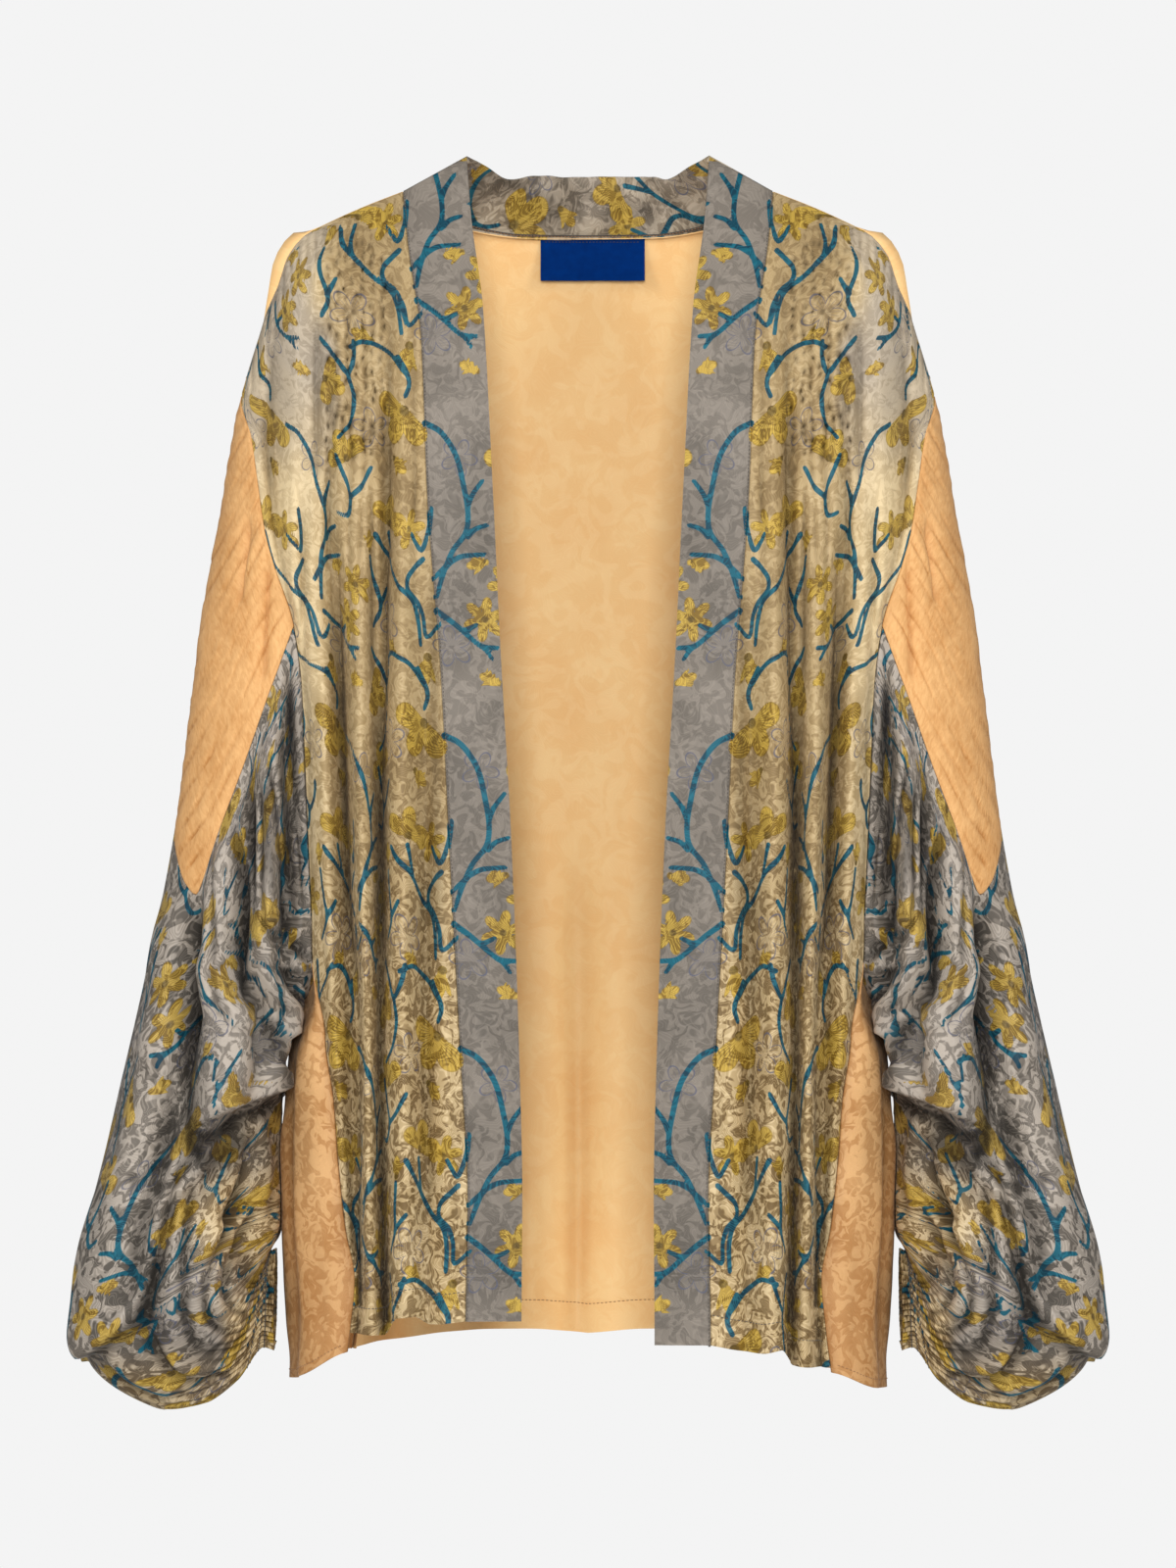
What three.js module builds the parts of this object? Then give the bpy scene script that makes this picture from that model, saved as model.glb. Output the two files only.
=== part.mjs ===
// A hip-length open kimono jacket in silk jacquard, hanging as it is worn, with nobody in it.
// Printed fronts, neck band and balloon sleeves; plain back, side panels and quilted sleeve inserts.
// Millimetres. +X to the wearer's left, -Y to the front, +Z up. The origin is midway between the two
// points where the band crosses the shoulders, which is where the wearer carries the weight.
import * as THREE from "three";

const CLOTH = 1.2; // wall thickness
const SEAM_GAP = 0.5; // clear space left between two sewn pieces
const SMOCK_DEPTH = 2.4; // height of the tufts of the shoulder smocking
const QUILT_DEPTH = 1.6; // height of the quilting ribs on the sleeve inserts
const QUILT_PITCH = 26; // one quilting rib to the next, measured down the sleeve
const SHOULDER_FALL = 95; // how far below a seam the cloth has turned from lying to hanging
const SETTLE = 130; // how far below the neck the front's threads run straight down
const SETTLE_OUT = 30; // the same at the sleeve
const SHOULDER_ROLL = 9; // how far the back rolls out past the shoulder seam
const ROLL_FALL = 7; // how far below the seam it stands out most
const NECK_SHARE = 0.5; // share of the half back that is sewn to the neck band

// Where the band meets the front, and the band's free edge, measured down the front.
const BAND = [
  { down: 0, edge: 77.5, seam: 118, deep: 0 },
  { down: 40, edge: 74, seam: 113.5, deep: 34 },
  { down: 95, edge: 66.5, seam: 105.5, deep: 58 },
  { down: 200, edge: 60.5, seam: 101, deep: 76 },
  { down: 310, edge: 55, seam: 92.5, deep: 83 },
  { down: 420, edge: 48.5, seam: 87, deep: 86 },
  { down: 550, edge: 43.5, seam: 80, deep: 87 },
  { down: 640, edge: 41.5, seam: 75.5, deep: 87 },
  { down: 716, edge: 42, seam: 77, deep: 87 },
];
const BAND_LENGTH = 716;
const BAND_DROP = 22; // the sewn edge starts this much lower than the free edge
const BAND_TUCK = 3; // the free edge lies this much behind the sewn edge

// Half of the band behind the neck, from the centre back (0) to the shoulder (1).
const NECK = [
  { at: 0, edgeX: 0, edgeY: 50, edgeZ: -16, seamX: 0, seamY: 62, seamZ: -54.5 },
  { at: 0.35, edgeX: 33, edgeY: 47, edgeZ: -15, seamX: 42, seamY: 59, seamZ: -54 },
  { at: 0.6, edgeX: 50, edgeY: 37, edgeZ: -18, seamX: 75, seamY: 47, seamZ: -48 },
  { at: 0.8, edgeX: 64, edgeY: 21, edgeZ: -8, seamX: 99, seamY: 26, seamZ: -36 },
  { at: 1, edgeX: 77.5, edgeY: 0, edgeZ: 0, seamX: 118, seamY: 0, seamZ: -22 },
];

// The shoulder seam, from the neck (0) to the top corner of the sleeve insert (1).
const SHOULDER = [
  { at: 0, x: 118, y: 0, z: -22 },
  { at: 0.15, x: 142.6, y: 0, z: -31.6 },
  { at: 0.3, x: 167.4, y: -1, z: -43 },
  { at: 0.4, x: 180, y: -4, z: -50 },
  { at: 0.5, x: 191, y: -7, z: -64 },
  { at: 0.6, x: 197, y: -8, z: -82 },
  { at: 0.7, x: 204, y: -6, z: -98 },
  { at: 0.8, x: 209.6, y: -1, z: -115 },
  { at: 0.92, x: 215.8, y: 1, z: -134.5 },
  { at: 1, x: 220, y: 0, z: -149 },
];

// Sections of one sleeve, from the top corner of its insert to the frill beyond the cuff.
// A section runs from its inner end to its outer end and is deep to front and back; above the
// underarm only its share past start is cloth, and the rest is the armhole.
const SLEEVE = [
  { down: 149, outX: 220, outZ: -149, inX: 130, inZ: -149, deep: 40, start: 1 },
  { down: 177, outX: 225.5, outZ: -177, inX: 129.5, inZ: -177, deep: 46, start: 0.78 },
  { down: 208, outX: 230.5, outZ: -208, inX: 130.5, inZ: -208, deep: 52, start: 0.697 },
  { down: 239, outX: 235.6, outZ: -239, inX: 131.6, inZ: -239, deep: 56, start: 0.632 },
  { down: 263, outX: 240.5, outZ: -263, inX: 132.5, inZ: -263, deep: 58, start: 0.568 },
  { down: 300, outX: 246.5, outZ: -300, inX: 132.5, inZ: -300, deep: 58, start: 0.48 },
  { down: 338, outX: 251, outZ: -338, inX: 131, inZ: -338, deep: 58, start: 0.447 },
  { down: 387, outX: 257, outZ: -387, inX: 131, inZ: -387, deep: 58, start: 0.423 },
  { down: 431, outX: 263.5, outZ: -431, inX: 131.5, inZ: -431, deep: 58, start: 0.4 },
  { down: 480, outX: 272.5, outZ: -480, inX: 132.5, inZ: -480, deep: 59, start: 0.371 },
  { down: 512, outX: 279.5, outZ: -512, inX: 136, inZ: -512, deep: 60, start: 0.345 },
  { down: 530, outX: 284, outZ: -532, inX: 166, inZ: -530, deep: 61, start: 0.19 },
  { down: 548, outX: 289, outZ: -554, inX: 190, inZ: -548, deep: 62, start: 0 },
  { down: 580, outX: 297, outZ: -588, inX: 198.5, inZ: -580, deep: 64, start: 0 },
  { down: 620, outX: 307, outZ: -632, inX: 202, inZ: -612, deep: 67, start: 0 },
  { down: 660, outX: 317, outZ: -675, inX: 203.5, inZ: -640, deep: 70, start: 0 },
  { down: 695, outX: 324, outZ: -712, inX: 204.5, inZ: -662, deep: 71, start: 0 },
  { down: 725, outX: 325, outZ: -742, inX: 205, inZ: -677, deep: 70, start: 0 },
  { down: 750, outX: 317, outZ: -768, inX: 205, inZ: -686, deep: 66, start: 0 },
  { down: 775, outX: 295, outZ: -787, inX: 205, inZ: -692, deep: 59, start: 0 },
  { down: 800, outX: 267, outZ: -797, inX: 205, inZ: -695.5, deep: 50, start: 0 },
  { down: 822, outX: 244, outZ: -793, inX: 205, inZ: -697.5, deep: 42, start: 0 },
  { down: 842, outX: 223, outZ: -778, inX: 204.5, inZ: -699, deep: 34, start: 0 },
  { down: 858, outX: 207, outZ: -757, inX: 203, inZ: -700, deep: 28.5, start: 0 },
  { down: 868, outX: 200, outZ: -762, inX: 197.5, inZ: -695, deep: 33, start: 0 },
];
const INSERT_TOP = 153;
const SMOCK_END = 300; // where the smocked rows of the front reach the armhole
const ARMHOLE_END = 512;
const UNDERARM = 548;
const CUFF = 858; // the section drawn in by the cuff's elastic

// The seam under the sleeve insert: its share across the half sleeve, where it is round the
// section, and how far down.
const INSERT_SEAM = [
  { at: 0, round: 0.48, down: 300 },
  { at: 0.2, round: 0.552, down: 341 },
  { at: 0.35, round: 0.619, down: 386 },
  { at: 0.48, round: 0.685, down: 430 },
  { at: 0.6, round: 0.738, down: 470 },
  { at: 0.72, round: 0.79, down: 464 },
  { at: 0.86, round: 0.88, down: 446 },
  { at: 1, round: 1, down: 425 },
];

// The seam between a front or the back and the side panel below the armhole, and the side's reach.
const SIDE = [
  { z: -512, x: 0, y: 0, reach: 190 },
  { z: -560, x: 166, y: 60, reach: 190 },
  { z: -600, x: 160.5, y: 66, reach: 191 },
  { z: -634, x: 158, y: 69, reach: 192 },
  { z: -680, x: 153, y: 71, reach: 192 },
  { z: -712, x: 147, y: 72, reach: 190 },
  { z: -745, x: 150, y: 72, reach: 189 },
  { z: -790, x: 156, y: 72, reach: 191 },
];

// Hems, across half of each piece from the centre or the front seam.
const FRONT_HEM = [
  { at: 0, right: -738, left: -753 },
  { at: 0.3, right: -740, left: -757 },
  { at: 0.45, right: -735, left: -758 },
  { at: 0.6, right: -736, left: -756 },
  { at: 0.7, right: -747, left: -766 },
  { at: 1, right: -746, left: -768 },
];
const BACK_HEM = [
  { at: 0, z: -755 },
  { at: 0.25, z: -752 },
  { at: 0.6, z: -754 },
  { at: 0.85, z: -759 },
  { at: 1, z: -764 },
];
const SIDE_HEM = [
  { at: 0, right: -758, left: -771 },
  { at: 0.25, right: -774, left: -782 },
  { at: 0.5, right: -778, left: -784 },
  { at: 0.75, right: -774, left: -778 },
  { at: 1, right: -764, left: -764 },
];
const BACK_DEPTH = [
  { z: -22, y: 62 },
  { z: -150, y: 68 },
  { z: -300, y: 72 },
  { z: -500, y: 75 },
  { z: -790, y: 79 },
];

// Folds by their line down the cloth at the top, the middle and the bottom, how far the cloth
// stands out (or in, below zero) along it, and the half width. Seen from the front.
const FRONT_FOLDS = [
  { top: -60, x1: 124.6, x2: 130, x3: 127, low: -760, out: -13, wide: 5 },
  { top: -120, x1: 172, x2: 152, x3: 147, low: -760, out: -12, wide: 5.5 },
  { top: -200, x1: 137.6, x2: 135.8, x3: 131, low: -480, out: -6, wide: 4 },
  { top: -240, x1: 101, x2: 103.5, x3: 101, low: -760, out: -7, wide: 7 },
  { top: -90, x1: 203, x2: 201, x3: 190, low: -300, out: -6, wide: 5 },
  { top: -180, x1: 117, x2: 117, x3: 114, low: -760, out: 7, wide: 11 },
  { top: -220, x1: 146, x2: 141, x3: 138, low: -760, out: 8, wide: 7 },
  { top: -200, x1: 176, x2: 166, x3: 158, low: -740, out: 9, wide: 8 },
  { top: -60, x1: 184, x2: 187, x3: 180, low: -330, out: 5, wide: 9 },
];
const BACK_FOLDS = [
  { top: -420, x1: -8, x2: -6, x3: -7, low: -770, out: 7, wide: 11 },
  { top: -300, x1: 62, x2: 66, x3: 70, low: -770, out: 9, wide: 15 },
  { top: -340, x1: -58, x2: -64, x3: -70, low: -770, out: 9, wide: 15 },
  { top: -180, x1: 104, x2: 108, x3: 112, low: -770, out: -8, wide: 13 },
  { top: -160, x1: -106, x2: -110, x3: -112, low: -770, out: -8, wide: 13 },
  { top: -140, x1: 152, x2: 146, x3: 134, low: -770, out: 10, wide: 12 },
  { top: -150, x1: -150, x2: -146, x3: -136, low: -770, out: 10, wide: 12 },
];
const SIDE_FOLDS = [
  { top: -560, x1: 0.3, x2: 0.34, x3: 0.36, low: -790, out: -5, wide: 0.07 },
  { top: -600, x1: 0.68, x2: 0.66, x3: 0.62, low: -790, out: -5, wide: 0.08 },
];
// Sleeve folds by the share round the half sleeve, from the armhole (0) to its outer line (1).
const SLEEVE_FOLDS = [
  { top: 300, x1: 0.05, x2: 0.09, x3: 0.13, low: 520, out: -12, wide: 0.04 },
  { top: 330, x1: 0.17, x2: 0.19, x3: 0.24, low: 560, out: 11, wide: 0.055 },
  { top: 360, x1: 0.29, x2: 0.31, x3: 0.34, low: 580, out: -9, wide: 0.04 },
  { top: 400, x1: 0.42, x2: 0.43, x3: 0.46, low: 640, out: 14, wide: 0.075 },
  { top: 455, x1: 0.57, x2: 0.58, x3: 0.6, low: 700, out: -13, wide: 0.045 },
  { top: 470, x1: 0.74, x2: 0.76, x3: 0.78, low: 800, out: 6, wide: 0.12 },
  { top: 585, x1: 0.3, x2: 0.38, x3: 0.34, low: 690, out: -10, wide: 0.07 },
  { top: 600, x1: 0.12, x2: 0.13, x3: 0.16, low: 860, out: 7, wide: 0.06 },
  { top: 640, x1: 0.24, x2: 0.26, x3: 0.3, low: 860, out: -6, wide: 0.045 },
  { top: 650, x1: 0.4, x2: 0.42, x3: 0.44, low: 860, out: 8, wide: 0.07 },
  { top: 680, x1: 0.62, x2: 0.6, x3: 0.56, low: 862, out: -8, wide: 0.05 },
  { top: 730, x1: 0.86, x2: 0.8, x3: 0.74, low: 862, out: -7, wide: 0.05 },
];

// Where the sleeve's cloth sags into a pouch over the cloth below it: its lip's ends as shares round
// the half sleeve and distances down, how far above the lip it begins, and how far it stands out.
const SLEEVE_POUCHES = [
  { from: 0.14, to: 0.5, lipFrom: 592, lipTo: 622, reach: 110, out: 13 },
  { from: 0.53, to: 0.88, lipFrom: 692, lipTo: 742, reach: 150, out: 7 },
];

const LABEL = { width: 67, height: 27, middle: 3, lean: 7, thick: 1, stand: 1.4 };

const { lerp } = THREE.MathUtils;
const ramp = (from, to, at) => THREE.MathUtils.smoothstep(at, from, to);
const quarterTurn = (share) => Math.sin((Math.PI / 2) * Math.min(1, Math.max(0, share)));

// One column of a table, read between its rows as a smooth curve that never overshoots them.
function read(table, column, at, key = "at") {
  const downward = table[1][key] < table[0][key];
  const rows = downward ? [...table].reverse() : table;
  const last = rows.length - 1;
  if (at <= rows[0][key]) return rows[0][column];
  if (at >= rows[last][key]) return rows[last][column];
  let i = 0;
  while (at > rows[i + 1][key]) i += 1;
  const slope = (k) => (rows[k + 1][column] - rows[k][column]) / (rows[k + 1][key] - rows[k][key]);
  const tangent = (k) => {
    if (k === 0) return slope(0);
    if (k === last) return slope(last - 1);
    const [a, b] = [slope(k - 1), slope(k)];
    return a * b <= 0 ? 0 : (2 * a * b) / (a + b);
  };
  const span = rows[i + 1][key] - rows[i][key];
  const t = (at - rows[i][key]) / span;
  const [p, q] = [rows[i][column], rows[i + 1][column]];
  const [m, n] = [tangent(i) * span, tangent(i + 1) * span];
  return (2 * t ** 3 - 3 * t ** 2 + 1) * p + (t ** 3 - 2 * t ** 2 + t) * m
    + (3 * t ** 2 - 2 * t ** 3) * q + (t ** 3 - t ** 2) * n;
}

const even = (from, to, cells) => Array.from({ length: cells + 1 }, (_, i) => lerp(from, to, i / cells));
// Even steps within each stretch; the stretches share their ends.
const steps = (...stretches) => stretches.flatMap(([from, to, cells], k) =>
  even(from, to, cells).slice(k ? 1 : 0));
// Each stretch of a list halved as often as asked.
const finer = (list, parts) => list.slice(0, -1).flatMap((from, i) =>
  even(from, list[i + 1], parts).slice(0, -1)).concat(list.at(-1));

// Pieces that are sewn together bend at the same places of their seam. These are the places:
// down the armhole and side seam, along the shoulder and along half of the neck.
const SEAM_ROWS = steps([149, SMOCK_END, 8], [SMOCK_END, ARMHOLE_END, 6], [ARMHOLE_END, 792, 8]);
const SHOULDER_CELLS = 8;
const NECK_CELLS = 6;
// A smooth line made straight between those places.
function bent(places, at, point) {
  let i = 0;
  while (i < places.length - 2 && at > places[i + 1]) i += 1;
  const [p, q] = [point(places[i]), point(places[i + 1])];
  const t = (at - places[i]) / (places[i + 1] - places[i]);
  return p.map((value, k) => lerp(value, q[k], t));
}

// How far the folds push the cloth out at a place across it and a height or distance down it.
function foldsAt(folds, across, along) {
  let out = 0;
  for (const f of folds) {
    const t = (along - f.top) / (f.low - f.top);
    if (t <= 0) continue;
    const line = 2 * (t - 0.5) * (t - 1) * f.x1 - 4 * t * (t - 1) * f.x2 + 2 * t * (t - 0.5) * f.x3;
    const faded = ramp(0, 0.3, t) * (1 - ramp(1, 1.15, t));
    out += f.out * faded * Math.exp(-(((across - line) / f.wide) ** 2));
  }
  return out;
}

function pouchesAt(share, down) {
  let out = 0;
  for (const p of SLEEVE_POUCHES) {
    const along = (share - p.from) / (p.to - p.from);
    const lip = lerp(p.lipFrom, p.lipTo, along);
    out += p.out * ramp(-0.25, 0.15, along) * (1 - ramp(0.85, 1.1, along))
      * ramp(lip - p.reach, lip - 15, down) * (1 - ramp(lip, lip + 24, down));
  }
  return out;
}

// The sleeve's section at a distance down: its middle, its half width and its depth.
function sleeveSection(down) {
  const at = (column) => read(SLEEVE, column, down, "down");
  const [outX, outZ, inX, inZ] = [at("outX"), at("outZ"), at("inX"), at("inZ")];
  return {
    x: (outX + inX) / 2, z: (outZ + inZ) / 2,
    halfX: (outX - inX) / 2, halfZ: (outZ - inZ) / 2, deep: at("deep"),
  };
}
const sleeveStart = (down) => read(SLEEVE, "start", down, "down");

// A point of the smooth sleeve: round runs from its inner end (0) by the front or back to its outer end.
function sleevePoint(round, down, face) {
  const s = sleeveSection(down);
  const turn = Math.PI * round;
  return [
    s.x - s.halfX * Math.cos(turn),
    face * s.deep * Math.sin(turn),
    s.z - s.halfZ * Math.cos(turn),
  ];
}
// The outward direction at that point.
function sleeveNormal(round, down, face) {
  const s = sleeveSection(down);
  const half = Math.hypot(s.halfX, s.halfZ);
  const turn = Math.PI * round;
  const across = -s.deep * Math.cos(turn);
  const deep = face * half * Math.sin(turn);
  const long = Math.hypot(across, deep);
  return [(across * s.halfX) / half / long, deep / long, (across * s.halfZ) / half / long];
}

// The edge shared by a front or the back with the sleeve above the underarm, and with the side below.
function outerEdge(z) {
  const smooth = (down) => {
    const armhole = sleevePoint(sleeveStart(Math.min(ARMHOLE_END, down)), Math.min(ARMHOLE_END, down), 1);
    if (down <= ARMHOLE_END) return armhole;
    const seam = SIDE.map((row) => (row.x ? row : { ...row, x: armhole[0], y: armhole[1] }));
    return [read(seam, "x", -down, "z"), read(seam, "y", -down, "z")];
  };
  const [x, y] = bent(SEAM_ROWS, Math.max(SEAM_ROWS[0], -z), (down) => smooth(down).slice(0, 2));
  return { x, y };
}
function outerNormal(z, face) {
  const down = Math.min(ARMHOLE_END, Math.max(SLEEVE[0].down, -z));
  const [x, y] = sleeveNormal(sleeveStart(down), down, face);
  const below = ramp(ARMHOLE_END - 30, ARMHOLE_END + 40, -z);
  return [lerp(x, 0.35, below), lerp(y, face, below), 0];
}
// Under the arm the side panel and the sleeve hang from one seam, so its outside is below it and
// leans out into the fold between them.
// Share runs from the lowest point of the armhole (0) to the front or back of the side panel (1).
function underarmNormal(share, face) {
  const [x, y] = outerNormal(-ARMHOLE_END, face);
  const lean = (0.12 + 0.25 * share) * (1 - ramp(0.8, 1, share));
  return [x * share + lean, y * share, share - 1];
}
// The silhouette of the shoulder at a height above the armhole.
function shoulderReach(z) {
  const knots = even(0, 1, SHOULDER_CELLS).map(shoulderPoint);
  if (z <= knots.at(-1)[2]) return outerEdge(z).x;
  return bent(knots.map((k) => -k[2]), -z, (down) => [knots.find((k) => -k[2] === down)[0]])[0];
}
function shoulderPoint(at) {
  return bent(even(0, 1, SHOULDER_CELLS), at, (k) => ["x", "y", "z"].map((column) => read(SHOULDER, column, k)));
}
function shoulderNormal(at) {
  const [a, b] = [shoulderPoint(Math.max(0, at - 0.02)), shoulderPoint(Math.min(1, at + 0.02))];
  const long = Math.hypot(b[0] - a[0], b[2] - a[2]);
  return [(a[2] - b[2]) / long, 0, (b[0] - a[0]) / long];
}

const bandSeam = (down) => [
  read(BAND, "seam", down, "down"), -read(BAND, "deep", down, "down"), -BAND_DROP - down,
];
const bandEdge = (down, length) => [
  read(BAND, "edge", down, "down"),
  -read(BAND, "deep", down, "down") + BAND_TUCK * ramp(0, 60, down),
  -down * (length / (length - BAND_DROP)),
];
// The band's outward direction, across its width at a distance down.
function bandNormal(down) {
  const [seam, edge] = [bandSeam(down), bandEdge(down, BAND_LENGTH)];
  const below = bandSeam(down + 8);
  const above = down ? bandSeam(Math.max(0, down - 8)) : [below[0], -below[1], below[2]];
  const across = new THREE.Vector3(...seam).sub(new THREE.Vector3(...edge));
  const along = new THREE.Vector3(...below).sub(new THREE.Vector3(...above));
  return along.cross(across).normalize().toArray();
}

// A closed wall of cloth from a grid of its middle points. The outer side carries any relief,
// and an edge that is sewn gives way to its neighbour by half of the seam gap, or by its own room.
function wall({ across, along, point, outward, normals = {}, sewn = [], room = SEAM_GAP / 2, relief, thick = CLOTH }) {
  const [nu, nv] = [across.length, along.length];
  const grid = across.map((u) => along.map((v) => new THREE.Vector3(...point(u, v))));
  const inward = (i, j, i2, j2) => {
    const to = grid[i2][j2].clone().sub(grid[i][j]);
    return to.setLength(Math.min(j === 0 && j2 === 1 ? room : SEAM_GAP / 2, to.length() / 3));
  };
  const pulled = grid.map((column) => column.map((p) => p.clone()));
  for (let i = 0; i < nu; i++)
    for (let j = 0; j < nv; j++) {
      if (i === 0 && sewn.includes("first")) pulled[i][j].add(inward(0, j, 1, j));
      if (i === nu - 1 && sewn.includes("last")) pulled[i][j].add(inward(i, j, i - 1, j));
      if (j === 0 && sewn.includes("top")) pulled[i][j].add(inward(i, 0, i, 1));
      if (j === nv - 1 && sewn.includes("foot")) pulled[i][j].add(inward(i, j, i, j - 1));
    }
  const flat = grid.map((column, i) => column.map((p, j) => {
    const du = grid[Math.min(nu - 1, i + 1)][j].clone().sub(grid[Math.max(0, i - 1)][j]);
    const dv = grid[i][Math.min(nv - 1, j + 1)].clone().sub(grid[i][Math.max(0, j - 1)]);
    return du.cross(dv).normalize();
  }));
  let facing = 0;
  for (let i = 0; i < nu; i++)
    for (let j = 0; j < nv; j++)
      facing += flat[i][j].dot(new THREE.Vector3(...outward(across[i], along[j])));
  const sign = Math.sign(facing);
  const out = flat.map((column, i) => column.map((n, j) => {
    let edge = null;
    if (i === 0 && normals.first) edge = normals.first(along[j]);
    if (i === nu - 1 && normals.last) edge = normals.last(along[j]);
    if (j === 0 && normals.top) edge = normals.top(across[i]);
    if (j === nv - 1 && normals.foot) edge = normals.foot(across[i]);
    return edge ? new THREE.Vector3(...edge).normalize() : n.multiplyScalar(sign);
  }));
  const points = [];
  for (const side of [1, -1])
    for (let i = 0; i < nu; i++)
      for (let j = 0; j < nv; j++) {
        const raised = side > 0 && relief ? relief(across[i], along[j]) : 0;
        points.push(...pulled[i][j].clone().addScaledVector(out[i][j], (side * thick) / 2 + raised));
      }
  const at = (side, i, j) => side * nu * nv + i * nv + j;
  const faces = [];
  const quad = (a, b, c, d) => (sign > 0 ? faces.push(a, b, c, a, c, d) : faces.push(a, c, b, a, d, c));
  for (let i = 0; i < nu - 1; i++)
    for (let j = 0; j < nv - 1; j++) {
      quad(at(0, i, j), at(0, i + 1, j), at(0, i + 1, j + 1), at(0, i, j + 1));
      quad(at(1, i, j), at(1, i, j + 1), at(1, i + 1, j + 1), at(1, i + 1, j));
    }
  for (let i = 0; i < nu - 1; i++) {
    quad(at(0, i, 0), at(1, i, 0), at(1, i + 1, 0), at(0, i + 1, 0));
    quad(at(0, i, nv - 1), at(0, i + 1, nv - 1), at(1, i + 1, nv - 1), at(1, i, nv - 1));
  }
  for (let j = 0; j < nv - 1; j++) {
    quad(at(0, 0, j), at(0, 0, j + 1), at(1, 0, j + 1), at(1, 0, j));
    quad(at(0, nu - 1, j), at(1, nu - 1, j), at(1, nu - 1, j + 1), at(0, nu - 1, j + 1));
  }
  const geometry = new THREE.BufferGeometry();
  geometry.setAttribute("position", new THREE.BufferAttribute(new Float32Array(points), 3));
  geometry.setIndex(faces);
  geometry.computeVertexNormals();
  return geometry;
}

// Both sides of the jacket are made in the right half-space and mirrored: hand is -1 for the
// wearer's right and 1 for the left.
const SIDES = [{ word: "right", hand: -1 }, { word: "left", hand: 1 }];
const mirrored = (hand, [x, y, z]) => [hand * x, y, z];

const FRONT_CELLS = 16;
const SMOCK_ROWS = 24;

// Front and back stand clear of each other just under the end of the shoulder seam.
const spread = (share, fall) => 1.6 * ramp(0, 8, fall) * ramp(0.7, 0.8, share) * (1 - ramp(0.96, 1, share));

function frontPoint(u, v, word) {
  const [topX, topY, topZ] = shoulderPoint(u);
  const z = lerp(topZ, read(FRONT_HEM, word, u), v);
  const fall = topZ - z;
  const seam = bandSeam(-BAND_DROP - z);
  const outer = outerEdge(z);
  const fan = (1 - u) * (topX - bandSeam(-BAND_DROP - topZ)[0]) * (1 - ramp(0, lerp(SETTLE, SETTLE_OUT, u * u), fall));
  const x = lerp(seam[0], shoulderReach(z), u) + fan;
  const hang = lerp(read(BAND, "deep", fall, "down"), outer.y, ramp(0.5, 1, u) ** 1.5);
  const lift = topY * Math.exp(-((fall / 30) ** 2));
  const clear = ramp(0, 7, x - seam[0]) * ramp(0, 40, fall) * (1 - ramp(0.93, 1, u));
  return [x, lift - hang - spread(u, fall) - foldsAt(FRONT_FOLDS, x, z) * clear, z];
}
// The rows of a piece as shares of its length, where its outer edge runs between two distances down.
function rowsBetween(top, foot) {
  const inside = SEAM_ROWS.filter((down) => down > top + 3 && down < foot - 3);
  return [0, ...inside.map((down) => (down - top) / (foot - top)), 1];
}
function frontRows(word) {
  const rows = rowsBetween(SEAM_ROWS[0], -read(FRONT_HEM, word, 1));
  const smocked = SEAM_ROWS.indexOf(SMOCK_END);
  return [...finer(rows.slice(0, smocked + 1), 3), ...rows.slice(smocked + 1)];
}
// The smocking: cloth drawn up into a grid of tufts and dimples at the shoulder.
function smocking(u, v, word) {
  const share = v * ((-read(FRONT_HEM, word, 1) - SEAM_ROWS[0]) / (SMOCK_END - SEAM_ROWS[0]));
  const inside = ramp(0.04, 0.12, u) * (1 - ramp(0.52, 0.62, u)) * ramp(0.04, 0.12, share) * (1 - ramp(0.9, 1, share));
  const tufts = Math.cos(Math.PI * FRONT_CELLS * u) * Math.cos(Math.PI * SMOCK_ROWS * share);
  return SMOCK_DEPTH * inside * (0.5 + 0.5 * tufts);
}
function frontPanel({ word, hand }) {
  const zAt = (u, v) => lerp(shoulderPoint(u)[2], read(FRONT_HEM, word, u), v);
  return wall({
    across: even(0, 1, FRONT_CELLS),
    along: frontRows(word),
    point: (u, v) => mirrored(hand, frontPoint(u, v, word)),
    outward: () => [0, -1, 0],
    relief: (u, v) => smocking(u, v, word),
    sewn: ["first", "last", "top"],
    normals: {
      first: (v) => mirrored(hand, bandNormal(-BAND_DROP - zAt(0, v))),
      last: (v) => mirrored(hand, outerNormal(zAt(1, v), -1)),
      top: (u) => mirrored(hand, shoulderNormal(u)),
    },
  });
}

// A line of the band behind the neck: its free edge or its seam.
function neckLine(line, at) {
  return bent(even(0, 1, NECK_CELLS), at, (k) => ["X", "Y", "Z"].map((axis) => read(NECK, line + axis, k)));
}
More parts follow.
